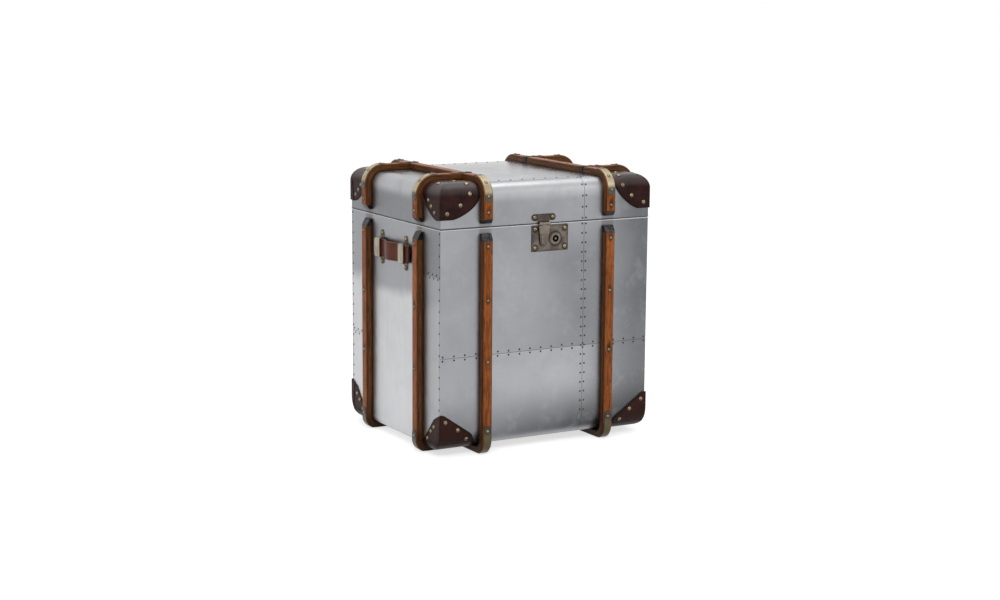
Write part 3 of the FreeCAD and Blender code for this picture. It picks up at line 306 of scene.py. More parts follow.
# Tones: wood and cloth
WOOD_DARK = rgb(0.145, 0.035, 0.007)
WOOD_ORANGE = rgb(0.380, 0.108, 0.022)
WOOD_WORN = rgb(0.46, 0.155, 0.038)
WOOD_FIGURE = rgb(0.060, 0.016, 0.005)
WOOD_PORE = rgb(0.044, 0.012, 0.004)
WOOD_SMUDGE = rgb(0.036, 0.011, 0.005)
# Painted shade on the slats' flanks
SHADED_FLANK_DARK = rgb(0.030, 0.012, 0.004)
SHADED_FLANK_OLIVE = rgb(0.125, 0.050, 0.013)
# Dark arrises, and painted shade where the slats meet the sheets
WOOD_EDGE_AND_SHADE = rgb(0.024, 0.011, 0.007)
WOOD_STAIN = rgb(0.012, 0.007, 0.005)
PLY_DARK = rgb(0.15, 0.088, 0.043)
PLY_PALE = rgb(0.26, 0.165, 0.085)
PLY_PORE = rgb(0.075, 0.042, 0.020)
# Painted shade in the gap at the lid line
PLY_GAP_SHADE = rgb(0.012, 0.010, 0.009)
CLOTH_DARK = rgb(0.060, 0.044, 0.036)
CLOTH_MID = rgb(0.105, 0.080, 0.064)
CLOTH_THREAD = rgb(0.17, 0.135, 0.11)

# Tones: metal fittings
GUARD_DARK = rgb(0.36, 0.300, 0.195)
GUARD_BRIGHT = rgb(0.48, 0.410, 0.280)
GUARD_LOW_DARK = rgb(0.048, 0.036, 0.018)
GUARD_END = rgb(0.045, 0.046, 0.040)
NAIL_DARK = rgb(0.17, 0.125, 0.070)
NAIL_BRIGHT = rgb(0.36, 0.285, 0.180)
# Painted shade on the undersides of the domes
NAIL_UNDER_SHADE = rgb(0.050, 0.036, 0.020)
RIM_DARK = rgb(0.016, 0.013, 0.010)
RIM_MID = rgb(0.060, 0.048, 0.034)
LOCK_DARK = rgb(0.088, 0.074, 0.063)
LOCK_MID = rgb(0.165, 0.138, 0.114)
# Raised parts paler, worn by handling and painted lighter towards the top
LOCK_WORN_LIT = rgb(0.300, 0.250, 0.205)
# Painted highlight on the boss
LOCK_HIGHLIGHT_BOSS = rgb(0.30, 0.258, 0.210)
# Patina at the nails and edges, painted shade at the ring's step
LOCK_SHADE_PATINA = rgb(0.026, 0.021, 0.019)
PLUG_DARK = rgb(0.085, 0.072, 0.058)
PLUG_BRIGHT = rgb(0.20, 0.170, 0.135)
# Painted shade: the key recess black
KEY_RECESS_SHADE = rgb(0.004, 0.004, 0.004)
BRACKET_DARK = rgb(0.24, 0.205, 0.150)
BRACKET_BRIGHT = rgb(0.36, 0.315, 0.240)
BRACKET_PLATE = rgb(0.115, 0.096, 0.070)
CAP_DARK = rgb(0.012, 0.011, 0.012)
CAP_MID = rgb(0.045, 0.042, 0.043)
# Worn, with a painted sheen on slopes that face up
CAP_WEAR_SHEEN = rgb(0.22, 0.215, 0.215)
CAP_WOOD = rgb(0.16, 0.042, 0.010)
STEEL_DARK = rgb(0.16, 0.155, 0.15)
STEEL_BRIGHT = rgb(0.34, 0.33, 0.32)

# Tones: leather
LEATHER_DARK = rgb(0.015, 0.0050, 0.0045)
LEATHER_MID = rgb(0.036, 0.0115, 0.0100)
LEATHER_WORN = rgb(0.062, 0.026, 0.022)
LEATHER_RED = rgb(0.047, 0.0125, 0.008)
LEATHER_BURNT = rgb(0.012, 0.006, 0.005)
STRAP_DARK = rgb(0.080, 0.022, 0.013)
STRAP_MID = rgb(0.120, 0.034, 0.021)
STRAP_WORN = rgb(0.165, 0.058, 0.038)
STRAP_RIM = rgb(0.33, 0.155, 0.105)
STRAP_LINE = rgb(0.045, 0.015, 0.010)


class Look:
    """A material under construction: its tree, its shader, and place and direction on the part."""

    def __init__(self, name):
        self.material = bpy.data.materials.new(name)
        self.material.use_nodes = True
        self.tree = self.material.node_tree
        self.shader = self.tree.nodes["Principled BSDF"]
        coordinates = add(self.tree, "ShaderNodeTexCoord")
        self.place = coordinates.outputs["Object"]
        self.x, self.y, self.z = self.parts(self.place)
        self.abs_x = self.size(self.x)
        self.abs_y = self.size(self.y)
        self.face_x, self.face_y, self.face_z = self.parts(coordinates.outputs["Normal"])
        self.normal = None
        self.tone = None

    def parts(self, vector):
        return add(self.tree, "ShaderNodeSeparateXYZ", {0: vector}).outputs

    def size(self, value):
        return calc(self.tree, "ABSOLUTE", value)

    def away(self, value, centre):
        """How far a value is from a centre, either way."""
        return self.size(minus(self.tree, value, centre))

    def set(self, **values):
        """Sets inputs of the shader by name, with _ for a space."""
        for key, value in values.items():
            link_in(self.tree, self.shader.inputs[key.replace("_", " ")], value)

    def low_shade(self, tone):
        """The tone, darkened towards the floor in painted shade."""
        return scaled(self.tree, tone, ramp(self.tree, self.z, *LOW_SHADE_Z, 0.40, 1.0))

    def from_axis(self, x, z):
        """Distance from a line that runs front to back."""
        return hypot(self.tree, minus(self.tree, self.x, x), minus(self.tree, self.z, z))

    def crevice(self, reach):
        """1 deep in corners between surfaces, 0 on open ones."""
        made = add(self.tree, "ShaderNodeAmbientOcclusion", {"Distance": reach}, samples=6)
        return ramp(self.tree, made.outputs["AO"], 0.93, 0.50)

    def ease(self, radius):
        """Rounds sharp edges of the surface in its shading."""
        made = add(self.tree, "ShaderNodeBevel", {"Radius": radius}, samples=4)
        self.turn(made.outputs[0])

    def bump(self, height, strength, distance):
        inputs = {"Height": height, "Strength": strength, "Distance": distance, "Normal": self.normal}
        self.turn(add(self.tree, "ShaderNodeBump", inputs).outputs[0])

    def turn(self, normal):
        self.normal = normal
        self.tree.links.new(normal, self.shader.inputs["Normal"])


def heads_of(node):
    """Place, direction, radius and height of each nail head in a node.

    Vertices that faces join make one head. The half nearest its middle is the crown, the rest the base.
    """
    data = nodes[node].data
    keys = {}
    parent = []

    def find(index):
        while parent[index] != index:
            index = parent[index]
        return index

    owner = []
    for vertex in data.vertices:
        key = tuple(round(value, 6) for value in vertex.co)
        if key not in keys:
            keys[key] = len(parent)
            parent.append(len(parent))
        owner.append(keys[key])
    for polygon in data.polygons:
        first = find(owner[polygon.vertices[0]])
        for index in polygon.vertices:
            parent[find(owner[index])] = first
    groups = {}
    for key, index in keys.items():
        groups.setdefault(find(index), []).append(Vector(key))
    found = []
    for points in groups.values():
        middle = sum(points, Vector()) / len(points)
        points.sort(key=lambda point: (point - middle).length)
        half = len(points) // 2
        crown = sum(points[:half], Vector()) / half
        base = sum(points[half:], Vector()) / half
        normal = (crown - base).normalized()
        radius = (points[-1] - base).length
        found.append((base, normal, radius, (crown - base).length))
    return found


def lock_nails():
    """Places, seen from the front, of the nails that hold the lock and the hasp."""
    found = []
    for node in ("case_fitting_nails", "lid_slat_nails", "lid_leather_nails"):
        for base, normal, radius, tall in heads_of(node):
            near = abs(base.x) < LOCK_REACH and abs(base.z - SPLIT) < LOCK_REACH
            if near and normal.y < -0.9:
                found.append((base.x, base.z))
    return found


LOCK_NAILS = lock_nails()
CASE_CAP_LOW = min(vertex.co.z for vertex in nodes["case_slat_caps"].data.vertices)
LID_CAP_HIGH = max(vertex.co.z for vertex in nodes["lid_slat_caps"].data.vertices)


def painted_front_light(look):
    """Painted light and shade on the front: painted shade by the upright seam, a painted glow low down,
    painted shade at the foot and towards the right.
    """
    t = look.tree
    low_sheet = ramp(t, look.z, FRONT_SEAM_Z + SEAM_FADE, FRONT_SEAM_Z - SEAM_FADE)
    left_of_seam = ramp(t, look.x, SHADE_LEFT, FRONT_SEAM_X)
    right_of_seam = ramp(t, look.x, FRONT_SEAM_X + SHADE_WIDE, FRONT_SEAM_X)
    under_lid = ramp(t, look.z, SPLIT, SPLIT - SHADE_DEEP)
    dimmed = product(t, left_of_seam, right_of_seam, under_lid, less(t, low_sheet), 0.28)
    glow = product(t, low_sheet, ramp(t, look.away(look.x, GLOW_X), *GLOW_REACH), 0.20)
    foot = product(t, ramp(t, look.z, *FOOT_Z), ramp(t, look.x, *FOOT_X, 0.45, 0.80))
    level = ramp(t, look.x, RIGHT_FROM, HALF_W, 1.0, 0.48)
    return product(t, level, less(t, dimmed), plus(t, 1.0, glow), less(t, foot))


def painted_shade_on_sides(look):
    """Where painted shade darkens the sides: on the lid, and on the strip of the case that is nearest
    the front.
    """
    t = look.tree
    above_split = ramp(t, look.z, SPLIT, SPLIT + LINE_FADE)
    lid_side = product(t, above_split, ramp(t, minus(t, LID_TOP, look.z), *LID_SIDE_DROP))
    above_seam = ramp(t, look.z, SIDE_SEAM_FRONT_Z - SEAM_FADE, SIDE_SEAM_FRONT_Z)
    strip = product(t, ramp(t, look.y, *STRIP_Y), above_seam)
    return most(t, lid_side, strip)


def shade_and_grime_by_slats(look):
    """Where painted shade and painted reflection of the slats, with some dirt, lie on the sheets along
    both kinds of slat.
    """
    t = look.tree
    beside_x = ramp(t, look.away(look.abs_x, SLAT_X), *SHADE_AND_GRIME_X, 0.0, 0.50)
    beside_y = ramp(t, look.away(look.abs_y, SLAT_Y), *SHADE_AND_GRIME_Y, 0.0, 0.75)
    beside_y = product(t, beside_y, ramp(t, look.abs_x, *SHADE_AND_GRIME_FROM))
    return most(t, beside_x, beside_y)


def aluminium():
    """Aged satin sheet: cloudy tone, faint brush marks, painted highlights and painted shade in zones,
    painted shade with some dirt beside the slats.
    """
    look = Look("aged_aluminium")
    t = look.tree
    cloud = noise(t, look.place, 5.5, 3.0, 0.55, 0.3)
    tint = noise(t, look.place, 15.0, 4.0, 0.55, 0.5)
    mottle = noise(t, look.place, 34.0, 5.0, 0.6)
    brush = noise(t, stretch(t, look.place, 260.0, 260.0, 6.0), 1.0, 3.0, 0.6)
    pit = noise(t, look.place, 330.0, 2.0, 0.5)
    side = ramp(t, look.size(look.face_x), 0.6, 0.9)
    front = ramp(t, look.face_y, -0.6, -0.9)
    top = ramp(t, look.face_z, 0.90, 0.99)
    upright = less(t, top)

    tone = blend(t, ramp(t, cloud, 0.30, 0.70), SHEET_DARK, SHEET_MID)
    # Painted reflection: the mask rubbed makes the lower part of the sides paler
    wavy = plus(t, look.z, product(t, minus(t, cloud, 0.5), 0.10))
    rubbed = ramp(t, wavy, *SIDE_SHEEN_Z)
    rubbed = product(t, side, rubbed, ramp(t, look.y, *SIDE_SHEEN_Y, 0.25, 0.85))
    tone = blend(t, rubbed, tone, SHEET_SIDE_SHEEN)
    # Painted highlight along the lid's bend
    drop = minus(t, LID_TOP, look.z)
    bend = product(t, ramp(t, drop, *BEND_DROP, 0.0, 0.78), upright)
    tone = blend(t, bend, tone, SHEET_HIGHLIGHT_ON_BEND)
    # Painted reflection on the top, paler towards the rear
    flat = blend(t, ramp(t, look.y, *TOP_REAR_Y), SHEET_TOP, SHEET_SHEEN_AT_REAR)
    tone = blend(t, top, tone, flat)

    # Painted light and shade on the front
    level = plus(t, product(t, painted_front_light(look), front), less(t, front))
    # Painted shade on the lid's sides and on the front strip of the case's sides
    shade = product(t, painted_shade_on_sides(look), side, 0.32)
    tone = scaled(t, tone, product(t, level, less(t, shade)))

    bluish = product(t, ramp(t, tint, 0.48, 0.70, 0.0, 0.20), less(t, product(t, rubbed, 0.8)))
    tone = blend(t, bluish, tone, SHEET_BLUISH)
    tone = blend(t, ramp(t, mottle, 0.50, 0.72, 0.0, 0.12), tone, SHEET_FLECK)
    brushed = product(t, ramp(t, brush, 0.45, 0.70, 0.0, 0.10), ramp(t, side, 0.0, 1.0, 0.35, 1.0))
    tone = blend(t, brushed, tone, SHEET_BRUSHED)
    pitted = product(t, ramp(t, pit, 0.74, 0.79, 0.0, 0.55), upright)
    tone = blend(t, pitted, tone, SHEET_PIT)
    # Painted shade and reflection of the slats beside them, with some grime
    slat_shade_and_grime = product(t, shade_and_grime_by_slats(look), ramp(t, mottle, 0.30, 0.65, 0.55, 1.0))
    tone = blend(t, slat_shade_and_grime, tone, SHEET_SHADE_AND_GRIME)
    lap = product(t, side, ramp(t, look.away(look.abs_y, HALF_D - SIDE_LAP), *LAP_LINE))
    lap = product(t, lap, ramp(t, look.z, SPLIT, SPLIT - LINE_FADE), 0.62)
    tone = blend(t, lap, tone, SHEET_LAP)

    rough = plus(t, ramp(t, cloud, 0.3, 0.7, 0.30, 0.38), ramp(t, mottle, 0.35, 0.7, 0.0, 0.06))
    rough = minus(t, rough, product(t, top, 0.13))
    look.set(Base_Color=tone, Roughness=rough, Metallic=1.0)
    look.bump(noise(t, look.place, 7.0, 2.0, 0.5), product(t, upright, 0.30), 0.004)
    look.bump(brush, product(t, upright, 0.03), 0.0005)
    return look.material


def slat_depth(look, reach, half, bend, centre_z, way):
    """Distance out from the inner face of a bent slat, on its straight runs and round its bend."""
    t = look.tree
    out = most(t, minus(t, reach, half - bend), 0.0)
    rise = most(t, product(t, minus(t, look.z, centre_z), way), 0.0)
    return minus(t, hypot(t, out, rise), bend)


def slat_wood(name, runs, case_bend, levels):
    """Stained hardwood whose grain follows the bent slat; flanks in painted shade, dark arrises, painted
    shade where the slat meets the sheet, stains at nails.
    """
    look = Look(name)
    t = look.tree
    long_way = runs == "y"
    across = look.x if long_way else look.y
    abs_across = look.abs_x if long_way else look.abs_y
    centre = SLAT_X if long_way else SLAT_Y
    reach = look.abs_y if long_way else look.abs_x
    half = HALF_D if long_way else HALF_W
    facing = look.size(look.face_x if long_way else look.face_y)
    lid = slat_depth(look, reach, half, LID_ROUND, LID_TOP - LID_ROUND, 1.0)
    case = slat_depth(look, reach, half, case_bend, CASE_BOTTOM + case_bend, -1.0)
    on_lid = calc(t, "GREATER_THAN", look.z, SPLIT)
    depth = plus(t, product(t, lid, on_lid), product(t, case, less(t, on_lid)))
    run = minus(t, look.z, reach)
    sway = noise(t, combine(t, across, depth, run), 9.0, 1.0, 0.5)
    drift = plus(t, across, product(t, sway, 0.012))
    fibre = combine(t, drift, depth, product(t, run, 0.045))
    grain = noise(t, fibre, 480.0, 4.0, 0.60, 0.4)
    fine = noise(t, fibre, 1250.0, 3.0, 0.6)
    figure = noise(t, combine(t, drift, depth, product(t, run, 0.11)), 95.0, 3.0, 0.6, 0.8)
    patch = noise(t, look.place, 11.0, 3.0, 0.6)
    smudge = noise(t, combine(t, across, depth, product(t, run, 0.35)), 120.0, 4.0, 0.65, 0.5)

    tone = blend(t, ramp(t, grain, 0.30, 0.66), WOOD_DARK, WOOD_ORANGE)
    tone = blend(t, ramp(t, patch, 0.44, 0.70, 0.0, 0.45), tone, WOOD_WORN)
    tone = blend(t, ramp(t, figure, 0.56, 0.72, 0.0, 0.55), tone, WOOD_FIGURE)
    tone = blend(t, ramp(t, fine, 0.52, 0.68, 0.0, 0.70), tone, WOOD_PORE)
    tone = blend(t, ramp(t, smudge, 0.53, 0.70, 0.0, 0.62), tone, WOOD_SMUDGE)
    # Painted shade: the flanks darker and duller than the faces
    flank_shade = blend(t, ramp(t, grain, 0.36, 0.62), SHADED_FLANK_DARK, SHADED_FLANK_OLIVE)
    tone = blend(t, ramp(t, facing, 0.55, 0.85, 0.0, 0.85), tone, flank_shade)
    from_middle = look.away(abs_across, centre)
    arris = product(t, ramp(t, from_middle, *ARRIS_ACROSS), ramp(t, depth, *ARRIS_DEPTH))
    # Painted shade low on the slat where it meets the sheet
    shade_at_sheet = ramp(t, depth, *SHADE_AT_SHEET_DEPTH, 0.0, 0.75)
    tone = blend(t, most(t, product(t, arris, 0.62), shade_at_sheet), tone, WOOD_EDGE_AND_SHADE)
    stain = 0.0
    for level in levels:
        side_way = product(t, from_middle, 1.5)
        up_way = product(t, minus(t, look.z, level + STAIN_RISE), 0.75)
        stain = most(t, stain, ramp(t, hypot(t, side_way, up_way), *STAIN_REACH))
    stain = product(t, stain, ramp(t, patch, 0.34, 0.60, 0.35, 0.95))
    # Stains at the nails, then painted shade towards the floor
    tone = look.low_shade(blend(t, stain, tone, WOOD_STAIN))
    look.set(Base_Color=tone, Roughness=ramp(t, fine, 0.3, 0.7, 0.34, 0.52), Specular_IOR_Level=0.10)
    look.set(Coat_Weight=0.05, Coat_Roughness=0.20)
    look.ease(0.0020)
    look.bump(plus(t, grain, product(t, fine, 0.5)), 0.35, 0.0006)
    return look.material


def metal(name, dark, bright, roughness, scale=60.0, share=1.0):
    """Worn metal that mixes a dark patina with rubbed, brighter places, and painted shade in its
    crevices.
    """
    look = Look(name)
    t = look.tree
    patina = noise(t, look.place, scale, 4.0, 0.55, 0.3)
    fine = noise(t, look.place, scale * 9.0, 3.0, 0.6)
    tone = blend(t, ramp(t, patina, 0.34, 0.66), dark, bright)
    shade = faded(dark, 0.4)
    tone = blend(t, ramp(t, fine, 0.60, 0.76, 0.0, 0.35), tone, shade)
    # Painted shade in crevices found by the AO node, standing also for patina there
    tone = blend(t, product(t, look.crevice(0.004), 0.85), tone, shade)
    rough = ramp(t, patina, 0.3, 0.7, roughness + 0.08, roughness - 0.05)
    look.set(Base_Color=tone, Roughness=rough, Metallic=share)
    look.ease(0.0007)
    look.bump(fine, 0.10, 0.0003)
    look.tone = tone
    return look


def guard_brass():
    """Pale brass strip over a bend, gone dark at its rounded ends and darker all over at the feet."""
    look = metal("guard_brass", GUARD_DARK, GUARD_BRIGHT, 0.34, 40.0)
    t = look.tree
    above_tip = minus(t, look.z, LID_GUARD_TIP)
    lid_end = product(t, ramp(t, above_tip, *END_FADE), ramp(t, look.z, *UPPER_Z))
    reach = most(t, minus(t, look.abs_x, HALF_W), minus(t, look.abs_y, HALF_D))
    top_end = product(t, ramp(t, reach, *TOP_END), ramp(t, look.z, LID_TOP, LID_TOP + TOP_FADE))
    on_front = ramp(t, minus(t, look.abs_y, HALF_D), 0.0, FRONT_FADE)
    tip = ramp(t, on_front, 0.0, 1.0, FOOT_GUARD_TIPS["side"], FOOT_GUARD_TIPS["front"])
    below_tip = minus(t, tip, look.z)
    foot_end = product(t, ramp(t, below_tip, *END_FADE), ramp(t, look.z, *FEET_Z))
    dark = most(t, most(t, lid_end, top_end), foot_end)
    dimmed = blend(t, ramp(t, look.z, *FEET_Z, 0.0, 0.88), look.tone, GUARD_LOW_DARK)
    look.set(Base_Color=blend(t, product(t, dark, 0.88), dimmed, GUARD_END))
    return look.material


def nail_brass():
    """Antique brass dome: bright above, darker below in painted shade."""
    look = metal("dome_nail_brass", NAIL_DARK, NAIL_BRIGHT, 0.24, 150.0)
    t = look.tree
    # Painted shade on the side of a dome that faces down
    under_shade = ramp(t, look.face_z, 0.25, -0.45, 0.0, 0.80)
    look.set(Base_Color=blend(t, under_shade, look.tone, NAIL_UNDER_SHADE))
    return look.material


def lock_bronze():
    """Grey bronze of the lock and hasp: paler on raised parts worn by handling and paler towards the top
    in painted light, a painted highlight on the boss, painted shade at the ring's step, dark patina at
    nails and edges.
    """
    look = metal("lock_bronze", LOCK_DARK, LOCK_MID, 0.36, 55.0)
    t = look.tree
    out = ramp(t, minus(t, -HALF_D, look.y), *LOCK_RELIEF)
    # Raised parts paler where worn by handling, and more so towards the top as painted light
    worn_and_lit = product(t, out, ramp(t, look.z, *LOCK_LIT_Z, 0.10, 0.60))
    tone = blend(t, worn_and_lit, look.tone, LOCK_WORN_LIT)
    radius = look.from_axis(PLUG_X, PLUG_Z)
    on_boss = ramp(t, radius, BOSS_RADIUS + BOSS_FADE, BOSS_RADIUS)
    # Painted highlight on the boss's rim
    pale = product(t, ramp(t, radius, *BOSS_STEP), on_boss, 0.45)
    tone = blend(t, pale, tone, LOCK_HIGHLIGHT_BOSS)
    in_ring = ramp(t, radius, RING_RADIUS + RING_FADE, RING_RADIUS)
    # Painted shade at the ring's step
    step = product(t, ramp(t, radius, *RING_STEP, 0.0, 0.75), in_ring)
    edge_x = minus(t, LOCK_HALF_W, look.away(look.x, LOCK_X))
    edge_z = least(t, minus(t, look.z, LOCK_LOW), minus(t, LOCK_HIGH, look.z))
    edge = product(t, ramp(t, least(t, edge_x, edge_z), LOCK_EDGE, 0.0), less(t, out), 0.55)
    dark = most(t, step, edge)
    for x, z in LOCK_NAILS:
        dark = most(t, dark, ramp(t, look.from_axis(x, z), *NAIL_HALO, 0.0, 0.95))
    look.set(Base_Color=blend(t, product(t, dark, 0.88), tone, LOCK_SHADE_PATINA))
    return look.material


def plug_brass():
    """Worn plug round a key recess painted black as shade, with a small pin."""
    look = metal("plug_brass", PLUG_DARK, PLUG_BRIGHT, 0.32, 160.0)
    t = look.tree
    radius = look.from_axis(PLUG_X, PLUG_Z)
    off_pin = ramp(t, radius, KEY_PIN, KEY_PIN + PIN_FADE)
    # Painted shade: the key recess black round the pin
    recess = product(t, off_pin, ramp(t, radius, KEY_RECESS + RECESS_FADE, KEY_RECESS))
    look.set(Base_Color=blend(t, recess, look.tone, KEY_RECESS_SHADE))
    return look.material


def bracket_brass():
    """Dark bronze base plate under a pale, rubbed loop."""
    look = metal("bracket_brass", BRACKET_DARK, BRACKET_BRIGHT, 0.34, 30.0)
    t = look.tree
    plate = ramp(t, minus(t, look.abs_x, HALF_W), *BRACKET_BASE)
    look.set(Base_Color=blend(t, product(t, plate, 0.9), look.tone, BRACKET_PLATE))
    return look.material


def dark_cap():
    """Blackened slat end: silvery and worn on its slope, with a painted sheen where it faces up, giving
    way raggedly to the wood of the slat.
    """
    look = metal("dark_cap", CAP_DARK, CAP_MID, 0.36, 70.0, CAP_METAL)
    t = look.tree
    worn = noise(t, look.place, 240.0, 3.0, 0.6)
    # Worn, with a painted sheen on slopes that face up
    wear_and_sheen = product(t, ramp(t, look.face_z, 0.35, 0.75), ramp(t, worn, 0.40, 0.60, 0.0, 0.75))
    tone = blend(t, wear_and_sheen, look.tone, CAP_WEAR_SHEEN)
    ragged = product(t, minus(t, noise(t, look.place, 190.0, 1.0), 0.5), CAP_RAGGED)
    above = plus(t, minus(t, look.z, CASE_CAP_LOW), ragged)
    below = plus(t, minus(t, LID_CAP_HIGH, look.z), ragged)
    on_lid = calc(t, "GREATER_THAN", look.z, SPLIT)
    into = plus(t, product(t, below, on_lid), product(t, above, less(t, on_lid)))
    under_top = ramp(t, look.z, LID_TOP, LID_TOP - TOP_FADE)
    wood = product(t, ramp(t, into, *CAP_FADE), under_top)
    look.set(Base_Color=blend(t, wood, tone, CAP_WOOD))
    look.set(Metallic=product(t, less(t, wood), CAP_METAL), Specular_IOR_Level=0.2)
    return look.material


def grained_leather(name, dark, mid, worn):
    """Leather with a fine grain, soft creases and rubbed places."""
    look = Look(name)
    t = look.tree
    patch = noise(t, look.place, 22.0, 4.0, 0.6)
    cells = {"Vector": look.place, "Scale": 640.0}
    pore = add(t, "ShaderNodeTexVoronoi", cells, feature="SMOOTH_F1").outputs[0]
    crease = noise(t, look.place, 110.0, 4.0, 0.62, 1.2)
    tone = blend(t, ramp(t, patch, 0.34, 0.66), dark, mid)
    tone = blend(t, ramp(t, crease, 0.55, 0.74, 0.0, 0.40), tone, worn)
    look.tone = blend(t, ramp(t, pore, 0.25, 0.0, 0.0, 0.35), tone, faded(dark, 0.5))
    look.set(Base_Color=look.tone, Roughness=ramp(t, patch, 0.3, 0.7, 0.26, 0.40))
    look.set(Specular_IOR_Level=0.12, Coat_Weight=0.05, Coat_Roughness=0.15)
    look.ease(0.0110)
    look.bump(crease, 0.22, 0.0012)
    look.bump(pore, 0.22, 0.0004)
    return look


def edge_room(look, u, v, edge):
    """Distance inside a straight edge that is given by two points."""
    t = look.tree
    (u0, v0), (u1, v1) = edge
    along = math.hypot(u1 - u0, v1 - v0)
    across_u = (v1 - v0) / along
    across_v = (u0 - u1) / along
    start = across_u * u0 + across_v * v0
    used = plus(t, product(t, u, across_u), product(t, v, across_v))
    return minus(t, start, used)


def swollen_room(look, u, w, v):
    """Distances inside the swollen edges of a lid corner, on the front and on the flap."""
    t = look.tree
    (reach, start), (near, low) = LID_FRONT_EDGE
    slant = (reach - near) / (low - start)
    straight_u = minus(t, reach, product(t, minus(t, v, start), slant))
    down = calc(t, "DIVIDE", most(t, minus(t, v, SWELL_START), 0.0), SWELL_DEEP)
    left = most(t, less(t, calc(t, "POWER", down, SWELL_POWER)), 0.0)
    round_u = product(t, calc(t, "POWER", left, 1 / SWELL_POWER), reach)
    share = ramp(t, look.x, -HALF_W / 2, HALF_W / 2, SWELL_LEFT, SWELL_RIGHT)
    gain = product(t, minus(t, round_u, straight_u), share)
    edge_u = plus(t, straight_u, gain)
    on_front = product(t, minus(t, edge_u, u), ACROSS_FRONT)
    (wide, high), (_, low) = LID_FLAP_EDGE
    slope = (low - high) / wide
    straight = minus(t, low - LID_ROUND, product(t, w, slope))
    wave = calc(t, "SINE", product(t, w, math.pi / FLAP_REACH))
    edge_v = product(t, straight, plus(t, 1.0, product(t, wave, FLAP_SWELL)))
    on_flap = product(t, minus(t, edge_v, minus(t, v, LID_ROUND)), ACROSS_FLAP)
    return on_front, on_flap


def corner_leather():
    """Dark moulded leather: nearly black on the lid, redder on the case, burnished along its edges."""
    look = grained_leather("corner_leather", LEATHER_DARK, LEATHER_MID, LEATHER_WORN)
    t = look.tree
    u = minus(t, HALF_W, look.abs_x)
    w = minus(t, HALF_D, look.abs_y)
    on_case = calc(t, "LESS_THAN", look.z, CASE_LEATHER_HIGH)
    on_side = ramp(t, look.size(look.face_x), 0.55, 0.75)
    up = minus(t, look.z, CASE_BOTTOM)
    case_rooms = edge_room(look, u, up, CASE_FRONT_EDGE), edge_room(look, w, up, CASE_FLAP_EDGE)
    lid_rooms = swollen_room(look, u, w, minus(t, LID_TOP, look.z))
    inside = 0.0
    for (on_front, on_flap), share in ((case_rooms, on_case), (lid_rooms, less(t, on_case))):
        room = plus(t, product(t, on_front, less(t, on_side)), product(t, on_flap, on_side))
        inside = plus(t, inside, product(t, room, share))
    tone = blend(t, product(t, on_case, 0.50), look.tone, LEATHER_RED)
    burnt = ramp(t, inside, *BURNT_EDGE, 0.0, 0.85)
    # Burnished edges, then painted shade towards the floor
    look.set(Base_Color=look.low_shade(blend(t, burnt, tone, LEATHER_BURNT)))
    look.set(Specular_IOR_Level=ramp(t, look.face_z, 0.10, 0.60, 0.05, 0.40))
    return look.material


def strap_leather():
    """Red-brown strap with paler cut edges and a pressed line inside each edge."""
    look = grained_leather("strap_leather", STRAP_DARK, STRAP_MID, STRAP_WORN)
    t = look.tree
    from_middle = look.away(look.z, HANDLE_Z)
    rim = ramp(t, minus(t, STRAP_HALF, from_middle), *STRAP_CUT)
    tone = blend(t, product(t, rim, 0.65), look.tone, STRAP_RIM)
    line = ramp(t, look.away(from_middle, STRAP_HALF - STRAP_LINE_IN), *STRAP_LINE_WIDE)
    look.set(Base_Color=blend(t, product(t, line, 0.6), tone, STRAP_LINE))
    return look.material


def sheet_lip():
    """Rolled edge of the sheets, with a painted highlight along the case and a painted shadow of the gap
    along the lid.
    """
    look = metal("sheet_lip", LIP_DARK, LIP_MID, 0.50, 40.0)
    t = look.tree
    rise = minus(t, look.z, SPLIT)
    # Painted highlight on the case's lip, through the mask rubbed
    rubbed = ramp(t, rise, LIP_MIDDLE, -LIP_MIDDLE, 0.0, 0.75)
    tone = blend(t, rubbed, look.tone, LIP_HIGHLIGHT)
    on_lid = ramp(t, rise, -LIP_MIDDLE, LIP_MIDDLE)
    # Painted shadow of the gap on the lid's lip
    gap_shadow = product(t, on_lid, ramp(t, rise, *LIP_SHADE))
    look.set(Base_Color=blend(t, product(t, gap_shadow, 0.85), tone, LIP_GAP_SHADOW))
    return look.material


def plywood():
    """Plain boards, with painted shade along the rim where the lid meets the case."""
    look = Look("carcass_plywood")
    t = look.tree
    grain = noise(t, stretch(t, look.place, 9.0, 240.0, 240.0), 1.0, 5.0, 0.65, 0.6)
    pore = noise(t, stretch(t, look.place, 40.0, 1500.0, 1500.0), 1.0, 2.0, 0.6)
    tone = blend(t, ramp(t, grain, 0.35, 0.68), PLY_DARK, PLY_PALE)
    tone = blend(t, ramp(t, pore, 0.56, 0.70, 0.0, 0.5), tone, PLY_PORE)
    # Painted shade in the gap at the lid line
    rim = ramp(t, look.away(look.z, SPLIT), *GAP_SHADE_REACH)
    look.set(Base_Color=blend(t, rim, tone, PLY_GAP_SHADE), Roughness=0.7)
    look.bump(grain, 0.2, 0.0006)
    return look.material


def lining_cloth():
    """Brown cloth of a coarse weave."""
    look = Look("lining_cloth")
    t = look.tree
    weave = 1.0
    for direction, scale in (("DIAGONAL", 330.0), ("Z", 290.0)):
        threads = {"Vector": look.place, "Scale": scale}
        wave = add(t, "ShaderNodeTexWave", threads, bands_direction=direction)
        weave = product(t, weave, wave.outputs[1])
    patch = noise(t, look.place, 18.0, 3.0)
    tone = blend(t, ramp(t, patch, 0.3, 0.7), CLOTH_DARK, CLOTH_MID)
    tone = blend(t, product(t, weave, 0.5), tone, CLOTH_THREAD)
    look.set(Base_Color=tone, Roughness=0.9)
    look.bump(weave, 0.3, 0.0004)
    return look.material


